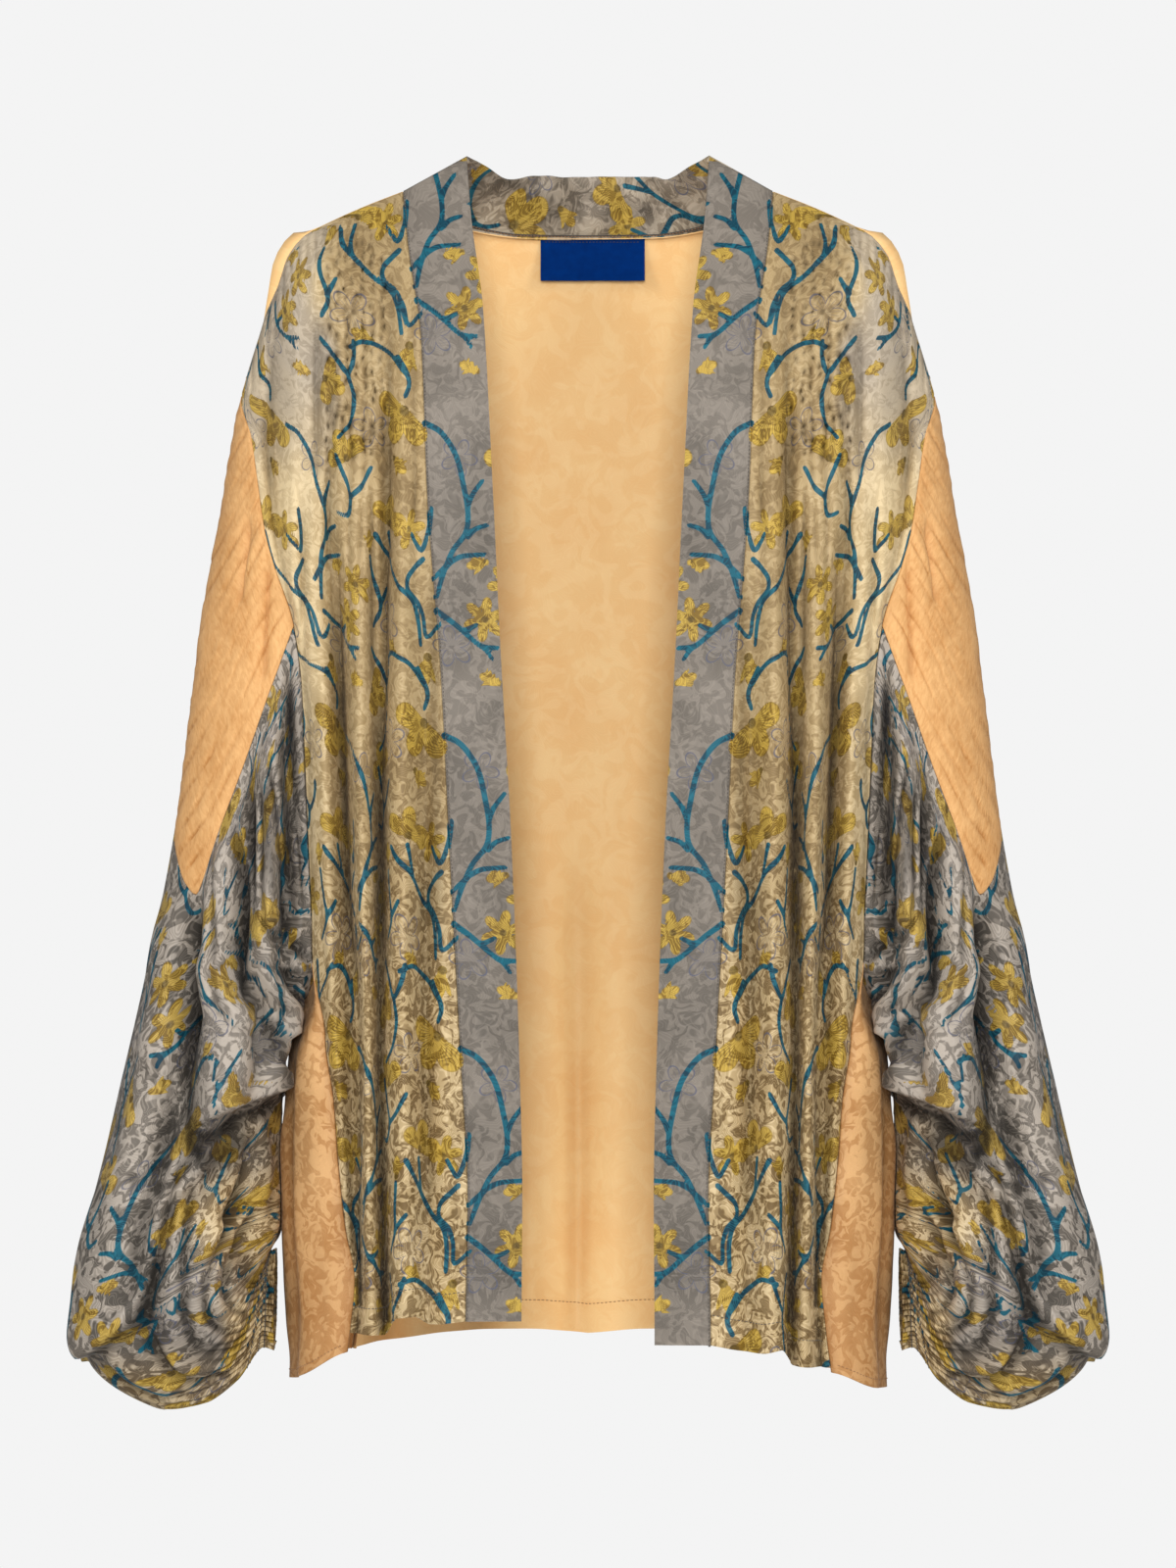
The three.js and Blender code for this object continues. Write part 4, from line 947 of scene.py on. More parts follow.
CHART = PrintChart(
    wide=128,
    high=197,
    stems=(
        Stem(((0, 0), (-11, 6), (-20.5, 21), (-24.5, 41), (-26, 57), (-23.5, 69.5), (-14, 81), (-7, 95),
              (-1, 110)), 1.5),
        Stem(((-26, 53), (-30, 45), (-37, 36.5))),
        Stem(((-24.5, 72), (-30, 67), (-38, 64.5))),
        Stem(((-11, 88.5), (-19, 84.5), (-27, 83.5), (-35, 83))),
        Stem(((-10, 90), (-5, 94), (0, 98.5))),
        Stem(((0, 118.5), (-9, 125), (-16.5, 131.5), (-27, 140.5), (-38, 142)), 1.5),
        Stem(((-16.5, 131), (-20, 130), (-25.5, 127.5))),
        Stem(((-26, 140), (-30, 143), (-34, 149))),
        Stem(((-2, 54), (0, 66), (6, 80), (10, 76), (13, 70))),
        Stem(((6, 86), (13, 92), (18.6, 98), (19.3, 105.4), (13, 112), (9.5, 122), (8.3, 135),
              (-2, 127)), 1.3),
        Stem(((54, 70), (48, 78), (37, 89.3), (25.2, 104), (16.4, 112.7), (13.5, 124), (13.5, 140)), 1.4),
        Stem(((40.6, 68.8), (39, 78), (36.2, 90))),
        Stem(((17.6, -42), (12, -31), (11, -24), (14, -17)), 1.5),
        Stem(((12, -31), (24, -44), (40, -52), (52, -49)), 1.4),
        Stem(((61, 84), (60, 100), (58, 116), (66, 128)), 1.3),
        Stem(((58, 114), (53, 108), (50, 104))),
        Stem(((72, 142), (64, 154), (58, 165), (51, 155), (48, 144)), 1.4),
        Stem(((58, 165), (56, 180), (62, 196), (75, 206)), 1.3),
        Stem(((79, 20), (74, 34), (70, 47), (76, 58), (84, 56)), 1.4),
        Stem(((70, 47), (60, 40), (52, 28)), 1.3),
    ),
    blooms=(
        Bloom(-31, 124, 14.5, 0.3, Motif.STAR),
        Bloom(-35, 88, 11, 0.2, Motif.BUD),
        Bloom(-37, 164, 11, -0.4, Motif.BUD),
        Bloom(-9, 141, 14, 0.5, Motif.SKETCH),
        Bloom(-22, 22, 13, 1.1, Motif.SKETCH),
        Bloom(15.4, 67, 13.5, 0.2, Motif.STAR),
        Bloom(39, 63, 17, -1.9, Motif.FAN),
        Bloom(9, 148, 16, 1.3, Motif.BUD),
        Bloom(15, -8, 22, 0.9, Motif.FAN),
        Bloom(26, 22, 12, 2.4, Motif.BUD),
        Bloom(61, 80, 11, -1.6, Motif.BUD),
        Bloom(70, 22, 17, -1.2, Motif.FAN),
        Bloom(45, 126, 16, 0.8, Motif.SKETCH),
        Bloom(47, 3, 14, 0.4, Motif.SKETCH),
        Bloom(80, 102, 14, 0.1, Motif.STAR),
        Bloom(36, -52, 12, -0.6, Motif.BUD),
        Bloom(77, 168, 15, 2.6, Motif.FAN),
    ),
)


def colour(red: int, green: int, blue: int) -> tuple[float, float, float, float]:
    """Returns a display colour of 0 to 255 as the light that it stands for."""
    part = np.array([red, green, blue]) / 255
    linear = np.where(part <= 0.04045, part / 12.92, ((part + 0.055) / 1.055) ** 2.4)
    return (*(float(value) for value in linear), 1.0)


class Value:
    """A socket of a material, with Python's arithmetic on it."""

    def __init__(self, shader: "Shader", socket: bpy.types.NodeSocket) -> None:
        """Keeps the socket and the material that it belongs to."""
        self.shader, self.socket = shader, socket

    def _math(self, operation: str, first: Any, second: Any = None) -> "Value":
        """Adds one Math node and returns its value."""
        inputs = {0: first} if second is None else {0: first, 1: second}
        return self.shader.node("ShaderNodeMath", {"operation": operation}, inputs)

    def __add__(self, other: Any) -> "Value":
        """Returns the sum."""
        return self._math("ADD", self, other)

    __radd__ = __add__

    def __sub__(self, other: Any) -> "Value":
        """Returns the difference."""
        return self._math("SUBTRACT", self, other)

    def __rsub__(self, other: Any) -> "Value":
        """Returns the difference taken from a number."""
        return self._math("SUBTRACT", other, self)

    def __mul__(self, other: Any) -> "Value":
        """Returns the product."""
        return self._math("MULTIPLY", self, other)

    def __pow__(self, other: Any) -> "Value":
        """Returns the power."""
        return self._math("POWER", self, other)

    def other(self, output: Any) -> "Value":
        """Returns another output of the same node."""
        return Value(self.shader, self.socket.node.outputs[output])

    def size(self) -> "Value":
        """Returns the value without its sign."""
        return self._math("ABSOLUTE", self)

    def sine(self) -> "Value":
        """Returns the sine of the value."""
        return self._math("SINE", self)

    def step(self, low: float, high: float) -> "Value":
        """Returns 0 below low, 1 above high and a smooth step between, or the reverse when low is above."""
        inputs = {"Value": self, "From Min": low, "From Max": high}
        return self.shader.node("ShaderNodeMapRange", {"interpolation_type": "SMOOTHSTEP"}, inputs)


class Shader:
    """The node tree of a material or of the surroundings, with one method for any node."""

    def __init__(self, owner: Union[bpy.types.Material, bpy.types.World]) -> None:
        """Empties the owner's node tree."""
        owner.use_nodes = True
        self.owner, self.tree = owner, owner.node_tree
        self.tree.nodes.clear()

    def node(self, kind: str, settings: dict[str, Any], inputs: dict[Any, Any], output: Any = 0) -> Any:
        """Adds a node.

        Args:
            kind: the node's type.
            settings: its properties, which are set first.
            inputs: a value, colour, vector or link for each socket.
            output: the socket to return, or None for a node without one.

        Returns:
            That output.
        """
        made = self.tree.nodes.new(kind)
        for key, value in settings.items():
            setattr(made, key, value)
        for key, value in inputs.items():
            if isinstance(value, Value):
                self.tree.links.new(value.socket, made.inputs[key])
            else:
                made.inputs[key].default_value = value
        return None if output is None else Value(self, made.outputs[output])

    def cloth(self) -> Value:
        """Returns the place on the cloth, in metres."""
        return self.node("ShaderNodeUVMap", {"uv_map": "cloth"}, {})

    def mark(self, name: str, output: str = "Fac") -> Value:
        """Returns a value that the mesh carries."""
        return self.node("ShaderNodeAttribute", {"attribute_name": name}, {}, output)

    def noise(self, at: Value, scale: float, detail: float = 2, distortion: float = 0) -> Value:
        """Returns soft noise of that many bumps a metre."""
        inputs = {"Vector": at, "Scale": scale, "Detail": detail, "Distortion": distortion}
        return self.node("ShaderNodeTexNoise", {}, inputs, "Fac")

    def blend(self, share: Any, a: Any, b: Any) -> Value:
        """Returns colour a turned into colour b by a share."""
        return self.node("ShaderNodeMix", {"data_type": "RGBA"}, {0: share, 6: a, 7: b}, 2)

    def moved(self, at: Value, by: Value, far: float) -> Value:
        """Returns places pushed about by a colour's three parts, by up to half of far each way."""
        centred = self.node("ShaderNodeVectorMath", {"operation": "SUBTRACT"}, {0: by, 1: (0.5, 0.5, 0.5)})
        scaled = self.node("ShaderNodeVectorMath", {"operation": "SCALE"}, {0: centred, "Scale": far})
        return self.node("ShaderNodeVectorMath", {"operation": "ADD"}, {0: at, 1: scaled})

    def stretched(self, at: Value, x: float, y: float) -> Value:
        """Returns places scaled across and down."""
        return self.node("ShaderNodeVectorMath", {"operation": "MULTIPLY"}, {0: at, 1: (x, y, 1)})

    def finish(self, base: Any, roughness: Any, height: Value, depth: float,
               fixed: dict[str, Any]) -> bpy.types.Material:
        """Joins colour, roughness and relief in the surface.

        Args:
            base: the colour.
            roughness: the roughness.
            height: the relief, from 0 to 1.
            depth: how deep a relief of 1 is, in metres.
            fixed: sockets that are the same all over.

        Returns:
            The material.
        """
        relief = {"Strength": 1.0, "Distance": depth, "Height": height}
        bump = self.node("ShaderNodeBump", {}, relief, "Normal")
        inputs = {"Base Color": base, "Roughness": roughness, "Normal": bump, **fixed}
        surface = self.node("ShaderNodeBsdfPrincipled", {}, inputs)
        self.node("ShaderNodeOutputMaterial", {}, {"Surface": surface}, None)
        return self.owner


@dataclass(frozen=True)
class Damask:
    """The woven figure: swirling leaves and clouds, with fine engraved lines."""

    leaf: float = 62
    line: float = 55
    warp: float = 0.014
    cover: float = 0.5

    def draw(self, shader: Shader) -> tuple[Value, Value]:
        """Draws the figure from noise that swirls through itself, and lines along its levels.

        Args:
            shader: the material to draw in.

        Returns:
            The leaves and the engraved lines, both 0 to 1.
        """
        at = shader.cloth()
        broad = {"Vector": at, "Scale": self.leaf * 0.6, "Detail": 1.0}
        by = shader.node("ShaderNodeTexNoise", {}, broad, "Color")
        pushed = shader.moved(at, by, self.warp)
        swirl = shader.noise(pushed, self.leaf, 1.0, 1.6)
        leaves = swirl.step(self.cover - 0.05, self.cover + 0.05)
        veined = shader.noise(pushed, self.line, 0.4, 0.9)
        lines = (veined * 105).sine().step(0.0, 0.85)
        return leaves, lines


@dataclass(frozen=True)
class PlainSatin:
    """Peach satin jacquard."""

    name: str
    low: tuple[int, int, int]
    high: tuple[int, int, int]
    figure: Damask = Damask(leaf=52, cover=0.51)
    shown: float = 0.3
    ridge: float = 0.0001

    def make(self) -> bpy.types.Material:
        """Returns the material: two close tones, lighter and glossier in the leaves, with painted shade in
        hollows.
        """
        shader = Shader(bpy.data.materials.new(self.name))
        leaves, lines = self.figure.draw(shader)
        patches = shader.noise(shader.cloth(), 24, 3)
        tone = (leaves - 0.5) * self.shown + lines * 0.07 + (patches - 0.5) * 0.8 + 0.55
        base = shader.blend(tone.step(0.1, 1.0), colour(*self.low), colour(*self.high))
        # Painted shade: the colour turns towards a deep brown where the cloth is sunk.
        base = shader.blend(shader.mark("hollow") * 0.7, base, colour(150, 98, 52))
        crinkle = shader.noise(shader.cloth(), 420, 2)
        height = leaves * 0.35 + lines * 0.2 + crinkle * 0.4
        rough = 0.52 - leaves * 0.08
        return shader.finish(base, rough, height, self.ridge, SATIN)


@dataclass(frozen=True)
class QuiltedSatin:
    """Peach satin drawn into fine crinkled ribs."""

    name: str
    low: tuple[int, int, int]
    high: tuple[int, int, int]

    def make(self) -> bpy.types.Material:
        """Returns the material: crushed cloth, with painted shade along its grooves and in its sunk places.
        """
        shader = Shader(bpy.data.materials.new(self.name))
        at = shader.cloth()
        crushed = shader.noise(shader.stretched(at, 1, 0.6), 300, 3, 0.8)
        broad = shader.noise(at, 26, 3, 0.6)
        # Random tone of the crushed cloth, with painted shade along the pinched grooves; below, more
        # painted shade where the cloth is sunk.
        tone = crushed * 0.55 + broad * 0.4 - shader.mark("groove") * 0.32 + 0.06
        base = shader.blend(tone.step(0.1, 0.85), colour(*self.low), colour(*self.high))
        base = shader.blend(shader.mark("hollow") * 0.6, base, colour(150, 96, 50))
        height = crushed * 0.8 + shader.noise(at, 700, 1) * 0.2
        return shader.finish(base, 0.58, height, 0.0004, SATIN)


@dataclass(frozen=True)
class PrintedSatin:
    """Satin jacquard printed with teal vines, gold flowers and sketched flowers."""

    name: str
    figure: Damask
    fade: float = 0.0
    contrast: float = 1.0

    GREY = ((84, 79, 73), (134, 126, 117), (180, 170, 159))
    TAN = ((110, 88, 56), (174, 150, 109), (224, 202, 160))
    VINE = ((0, 52, 72), (0, 98, 118))
    GOLD = ((126, 96, 26), (206, 172, 70))
    VEIN = (74, 58, 22)
    PENCIL = (84, 88, 108)
    SHADE = (14, 11, 8)

    def _ground(self, shader: Shader, leaves: Value, lines: Value) -> Value:
        """Returns the unprinted cloth's colour: grey or tan, in three tones of the woven figure."""
        patches = shader.noise(shader.cloth(), 17, 2.5)
        figure = ((leaves - 0.48) * 0.75 + (lines - 0.5) * 0.34) * shader.mark("lustre")
        # The pale mark makes the tone paler, and darker below zero; on the fronts, sleeves and neck band it
        # is painted highlight and shade.
        tone = figure * self.contrast + (patches - 0.5) * 0.7 + shader.mark("pale") * 0.5 + 0.5
        tints = []
        for low, middle, high in (self.GREY, self.TAN):
            dark = shader.blend(tone.step(0.0, 0.62), colour(*low), colour(*middle))
            tints.append(shader.blend(tone.step(0.45, 1.15), dark, colour(*high)))
        share = shader.mark("ground") + (shader.noise(shader.cloth(), 16, 2) - 0.5) * 0.5
        return shader.blend(share.step(0.1, 0.9), *tints)

    def _polar(self, shader: Shader, key: str) -> tuple[Value, Value, Value]:
        """Returns how far out in the nearest flower a place lies, its angle there and if it is in one."""
        x = shader.node("ShaderNodeSeparateXYZ", {}, {0: shader.mark(key, "Vector")})
        y, here = x.other(1), x.other(2)
        angle = shader.node("ShaderNodeMath", {"operation": "ARCTAN2"}, {0: y, 1: x})
        return (x * x + y * y) ** 0.5, angle, here

    def _petals(self, shader: Shader) -> tuple[Value, Value]:
        """Returns the veins of the filled flowers and the lines of the sketched ones, 0 to 1."""
        away, angle, here = self._polar(shader, "bloom")
        ray = (angle * 47 + (away * 7).sine() * 1.6).sine().step(0.35, 0.9)
        veins = (ray * away.step(1.15, 0.6) + away.step(0.2, 0.1)) * here
        away, angle, here = self._polar(shader, "sketch")
        rim = (away - ((angle * 2.5).sine().size() * 0.6 + 0.34)).size().step(0.06, 0.025)
        ray = (angle * 20).sine().step(0.8, 0.95) * away.step(0.8, 0.4)
        return veins, (rim + ray * 0.7) * here

    def make(self) -> bpy.types.Material:
        """Returns the material: the ground, then sketched lines, gold petals and vines over it, and painted
        shade in the sunk places.
        """
        shader = Shader(bpy.data.materials.new(self.name))
        leaves, lines = self.figure.draw(shader)
        ground = self._ground(shader, leaves, lines)
        veins, drawn = self._petals(shader)
        wear = shader.noise(shader.cloth(), 900, 2)
        base = shader.blend(drawn * 0.72, ground, colour(*self.PENCIL))
        shade = (leaves * 0.4 + lines * 0.35 + shader.noise(shader.cloth(), 60, 2) * 0.5).step(0.1, 1.0)
        petal = shader.blend(shade, colour(*self.GOLD[0]), colour(*self.GOLD[1]))
        edge = shader.mark("gold")
        inked = (veins * 0.75 + edge.step(-1.1, -0.1) * 0.45) * (0.5 + wear * 0.8)
        petal = shader.blend(inked, petal, colour(*self.VEIN))
        base = shader.blend(edge.step(0.25, -0.25) * (0.88 - self.fade), base, petal)
        ink = shader.blend(shade, colour(*self.VINE[0]), colour(*self.VINE[1]))
        over = shader.mark("vine").step(0.28, -0.22) * (0.96 - self.fade)
        base = shader.blend(over, base, ink)
        # Painted shade: the colour turns towards SHADE where the cloth is sunk and along the listed shades,
        # and the satin is rougher there.
        hollow = shader.mark("hollow")
        base = shader.blend(hollow * 0.88, base, colour(*self.SHADE))
        rough = 0.5 - leaves * 0.14 * self.contrast + hollow * 0.4
        crinkle = shader.noise(shader.stretched(shader.cloth(), 1, 0.5), 260, 2)
        height = leaves * 0.3 + lines * 0.22 + crinkle * 0.55
        return shader.finish(base, rough, height, 0.00022, SATIN)


@dataclass(frozen=True)
class WovenTape:
    """The label's blue satin tape, left blank."""

    name: str = "blue label tape"
    low: tuple[int, int, int] = (0, 32, 90)
    high: tuple[int, int, int] = (0, 54, 130)

    def make(self) -> bpy.types.Material:
        """Returns the material: fine ribs across the tape."""
        shader = Shader(bpy.data.materials.new(self.name))
        at = shader.cloth()
        down = shader.node("ShaderNodeSeparateXYZ", {}, {0: at}, "Y")
        ribs = (down * 9000).sine() * 0.5 + 0.5
        tone = shader.noise(at, 160, 2) * 0.8 + ribs * 0.2
        base = shader.blend(tone, colour(*self.low), colour(*self.high))
        return shader.finish(base, 0.8, ribs, 0.00006, {"Specular IOR Level": 0.04})


@dataclass(frozen=True)
class Thread:
    """Spun sewing thread of one colour."""

    name: str
    tint: tuple[int, int, int]

    def make(self) -> bpy.types.Material:
        """Returns the material: a fine twist from noise along the thread."""
        shader = Shader(bpy.data.materials.new(self.name))
        at = shader.node("ShaderNodeTexCoord", {}, {}, "Object")
        twist = shader.noise(at, 2600, 2)
        dark = tuple(int(part * 0.72) for part in self.tint)
        base = shader.blend(twist.step(0.3, 0.7), colour(*dark), colour(*self.tint))
        return shader.finish(base, 0.6, twist, 0.0001, {"Sheen Weight": 0.3})


class Dresser:
    """Makes each finish once and hands it to the pieces that wear it."""

    BAND = PrintedSatin("band print", Damask(leaf=100, line=60, warp=0.014), contrast=0.2)
    FRONT = PrintedSatin("front print", Damask(leaf=112, line=60, warp=0.011), contrast=0.66)
    SLEEVE = PrintedSatin("sleeve print", Damask(leaf=96, line=56, warp=0.014), contrast=0.8)
    WRONG = PrintedSatin("print from its wrong side", Damask(leaf=60), fade=0.45, contrast=0.3)
    PEACH = PlainSatin("peach satin", (246, 194, 128), (255, 217, 156), shown=0.12)
    # The side panel's outer face is the peach satin in darker tones, as painted shade under the arm.
    SIDE = PlainSatin("side panel satin", (174, 122, 70), (228, 182, 128), Damask(leaf=102, warp=0.011),
                      0.3, 0.0002)
    QUILT = QuiltedSatin("crinkled peach satin", (190, 130, 70), (240, 190, 130))
    TAPE = WovenTape()
    GREY_THREAD = Thread("grey thread", (92, 86, 80))
    PEACH_THREAD = Thread("peach thread", (176, 126, 78))
    DARK_THREAD = Thread("dark piping", (66, 58, 50))

    def __init__(self) -> None:
        """Starts with no finish made."""
        self.made: dict[str, bpy.types.Material] = {}

    def wear(self, *finishes: Any) -> list[bpy.types.Material]:
        """Returns the materials of the finishes, made on first use."""
        for finish in finishes:
            if finish.name not in self.made:
                self.made[finish.name] = finish.make()
        return [self.made[finish.name] for finish in finishes]


@dataclass
class Cloth:
    """What every cut piece has: its side, its cells, the flat size that it was cut to and its finishes.

    NAME is its solid's name, with the side's word added when SIDED is true. FINISHES holds the outer
    and the inner one.
    """

    side: Side = Side.RIGHT
    cells: tuple[int, int] = (40, 120)
    flat: tuple[float, float] = (0.2, 0.8)
    area: float = 0.12
    held: str = "hung"
    sewn_to: tuple[str, ...] = ()
    slot: str = "plain_cloth"

    NAME = ""
    SIDED = True
    FINISHES = (Dresser.PEACH, Dresser.PEACH)

    @property
    def node(self) -> str:
        """Returns the solid that the piece stands for."""
        return f"{self.NAME}_{self.side.word}" if self.SIDED else self.NAME

    def wall(self) -> Wall:
        """Returns the piece's cloth."""
        raise NotImplementedError

    def mirror(self, points: Array) -> Array:
        """Returns points moved to the piece's own side."""
        return points * np.array([self.side.value, 1, 1])

    @staticmethod
    def printed(cloth: Array, ground: Number, lustre: Number, pale: Number) -> dict[str, Array]:
        """Prints the chart on a piece and adds the marks of its ground.

        Args:
            cloth: each point's place on the cloth.
            ground: 0 for the grey ground, 1 for the tan one.
            lustre: how strongly the woven figure shows.
            pale: how much paler the ground is, darker below zero; on the fronts, the sleeves and the neck
                band it is painted highlight and shade.

        Returns:
            The marks, one array for each.
        """
        marks = CHART.paint(cloth[..., 0], cloth[..., 1])
        for key, value in (("ground", ground), ("lustre", lustre), ("pale", pale)):
            marks[key] = np.asarray(value, float)[..., None] * np.ones(marks["vine"].shape)
        return marks

    def make(self, dresser: Dresser) -> Wall:
        """Args:
            dresser: where its finishes come from.

        Returns:
            The built wall, whose outer points trims can follow.
        """
        wall = self.wall()
        thing = wall.build(dresser.wear(*self.FINISHES))
        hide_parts(self.node)
        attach(thing, "root")
        LOG.info("%s: %d faces", thing.name, len(thing.data.polygons))
        return wall


def dimples(across: Array, down: Array) -> Array:
    """Sinks small pits at shaken places of a grid of cells, some of them left out.

    Args:
        across: places across the smocking, in cells.
        down: places down it, in cells.

    Returns:
        The pits' depth, 0 to 1.
    """
    i, j = np.floor(across), np.floor(down)
    depth = np.zeros(across.shape)
    for di in (-1, 0, 1):
        for dj in (-1, 0, 1):
            ci, cj = i + di, j + dj
            x = ci + 0.5 + 0.5 * (hashed(ci, cj, 1) - 0.5)
            y = cj + 0.5 + 0.5 * np.mod(ci, 2) + 0.5 * (hashed(ci, cj, 2) - 0.5)
            size = 0.2 + 0.14 * hashed(ci, cj, 3)
            weight = (hashed(ci, cj, 4) > 0.22) * (0.55 + 0.45 * hashed(ci, cj, 5))
            away = ((across - x) / size * 1.15) ** 2 + ((down - y) / size * 0.8) ** 2
            depth = np.maximum(depth, weight * np.exp(-away))
    return depth


@dataclass
class FrontPanel(Cloth):
    """A front: pleated and smocked at the shoulder, and hanging in deep straight folds below."""

    NAME = "front_panel"
    FINISHES = (Dresser.FRONT, Dresser.WRONG)

    def _place(self, u: Array, v: Array) -> tuple[Array, Array, Array, Array, Array]:
        """Works out the hanging front before its folds: threads fan from the shoulder, then fall straight.

        Args:
            u: shares from the band's seam to the outer edge.
            v: shares from the shoulder to the hem.

        Returns:
            x, the depth, z, the fall below the shoulder seam, and where folds may stand.
        """
        top = shoulder_point(u)
        z = lerp(top[..., 2], FRONT_HEM.read(self.side.word, u), v)
        fall = top[..., 2] - z
        seam = band_seam(-BAND_DROP - z)[..., 0]
        start = band_seam(-BAND_DROP - top[..., 2])[..., 0]
        x = lerp(seam, shoulder_reach(z), u) + (1 - u) * (top[..., 0] - start) * unsettled(u, fall)
        hang = lerp(BAND.read("deep", fall), outer_edge(z)[1], ramp(0.5, 1, u) ** 1.5)
        clear = ramp(0, 7, x - seam) * ramp(0, 40, fall) * (1 - ramp(0.93, 1, u))
        return x, seam_depth(top, fall) - hang - parted(u, fall), z, fall, clear

    def _smocking(self, x: Array, down: Array) -> tuple[Array, Array]:
        """Returns the smocking's height and its pits: loose columns of them with puffed cloth between."""
        inside = (ramp(SMOCK_IN, SMOCK_IN + 5, x) * (1 - ramp(SMOCK_OUT - 6, SMOCK_OUT, x))
                  * ramp(SMOCK_TOP, SMOCK_TOP + 12, down)
                  * (1 - ramp(SMOCK_END - 22, SMOCK_END + 6, down + 8 * crumple(x / 9, 0, 5, 1))))
        shake = crumple(x / 14, down / 16, 7)
        pits = dimples(x / 5.8 + 0.35 * shake, down / 6.4 + 0.3 * shake)
        puff = 2.0 * crumple(x / 4, down / 6, 11)
        return inside * (puff - 4.8 * pits + 1.0), inside * pits

    def wall(self) -> Wall:
        """Returns the front's cloth with its folds, creases, smocking and fine ripples."""
        u, v = grid(*self.cells)
        x, y, z, fall, clear = self._place(u, v)
        down = -z
        folds = folds_of(FRONT_FOLDS, x, z) + relief_of(FRONT_CREASES, x, down)
        ripple = 0.9 * crumple(x / 7 + 0.25 * crumple(x / 30, down / 60, 2), down / 90, 3)
        released = 1.6 * crumple(x / 4.2, down / 60, 13) * ramp(195, 225, down) * (1 - ramp(250, 360, down))
        gathers = 1.2 * np.cos(x * 1.25 + crumple(x / 12, 0, 17))
        gathers = gathers * (1 - ramp(6, 34, fall)) * ramp(0, 5, fall)
        out = (folds + ripple + released) * clear + gathers
        base = stack(x, y - out, z)
        cloth = np.stack([lengths_of(base, 0), down - CHART_START + 0 * u], axis=-1)
        tufts, pits = self._smocking(x, down)
        points = stack(x, y - out - tufts * clear, z)
        outer = cloth[..., 0] - 30 * crumple(x / 40, down / 50, 19)
        grey = ramp(60, 78, outer) * (1 - ramp(120, 300, down))
        bold = 0.4 + 0.6 * ramp(330, 560, down + 60 * crumple(x / 40, down / 70, 97))
        # Painted highlight: the ground is made paler over the outer part of the upper front.
        pale = 0.8 * ramp(150, 184, x) * (1 - ramp(460, 600, down))
        marks = self.printed(cloth, 1 - grey * 0.6, bold, pale)
        # Painted shade: darkest along the listed shades and in the smocking's pits, and darker where the
        # cloth is sunk.
        shade = np.maximum(relief_of(FRONT_SHADES, x, down), pits * clear)
        marks["hollow"] = np.maximum(hollows(out + tufts * clear, (5, 3), 4.0), shade[..., None])
        hem = turned_hem(fall, 14.5, 0.5)
        return Wall(f"{self.node}_cloth", self.mirror(points), (0, -1, 0), cloth, hem, marks=marks,
                    turned=("first", "last", "top"))


@dataclass
class BackPanel(Cloth):
    """The plain back, seen from inside through the open front."""

    NAME = "back_panel"
    SIDED = False

    def wall(self) -> Wall:
        """Returns the back's cloth: it lies along the shoulders, rolls over them and hangs from there."""
        u, v = grid(*self.cells, start=-1)
        share, side = np.abs(u), np.where(u < 0, -1.0, 1.0)
        shoulder = np.maximum(0, (share - NECK_SHARE) / (1 - NECK_SHARE))
        neck = np.minimum(1, share / NECK_SHARE)
        seam = stack(*(NECK.read(f"seam_{axis}", neck) for axis in "xyz"))
        top = np.where((share > NECK_SHARE)[..., None], shoulder_point(shoulder), seam)
        z = lerp(top[..., 2], BACK_HEM.read("z", share), v)
        fall = top[..., 2] - z
        spread = (top[..., 0] - share * shoulder_reach(top[..., 2])) * unsettled(share, fall)
        x = share * shoulder_reach(z) + spread
        turn = np.sin(np.pi / 2 * np.clip(fall / SHOULDER_FALL, 0, 1))
        hang = lerp(top[..., 1], BACK_DEPTH.read("y", -z), turn)
        outer = outer_edge(z)[1] + seam_depth(top, fall)
        clear = ramp(0, 60, fall) * (1 - ramp(0.9, 1, share))
        rolled = (SHOULDER_ROLL * (fall / ROLL_FALL) * np.exp(1 - fall / ROLL_FALL)
                  * ramp(0.3, 0.42, shoulder) * (1 - ramp(0.5, 0.76, shoulder)))
        roll = shoulder_normal(shoulder)
        folds = folds_of(BACK_FOLDS, side * x, z) + relief_of(BACK_CREASES, side * x, -z)
        ripple = 0.5 * crumple(side * x / 16, -z / 120, 23)
        y = lerp(hang, outer, ramp(0.55, 1, share) ** 1.5) + parted(shoulder, fall)
        y = y + (folds + ripple) * clear
        points = stack(side * (x + rolled * roll[..., 0]), y, z + rolled * roll[..., 2])
        cloth = np.stack([side * x, -z + 0 * u], axis=-1)
        hem = turned_hem(fall, 15.5, 0.4)
        # Painted shade in the troughs of the back's folds.
        marks = {"hollow": hollows(-folds * clear, (8, 2), 14.0)}
        return Wall(f"{self.node}_cloth", points, (0, 1, 0), cloth, hem, marks=marks,
                    turned=("first", "last", "top"))


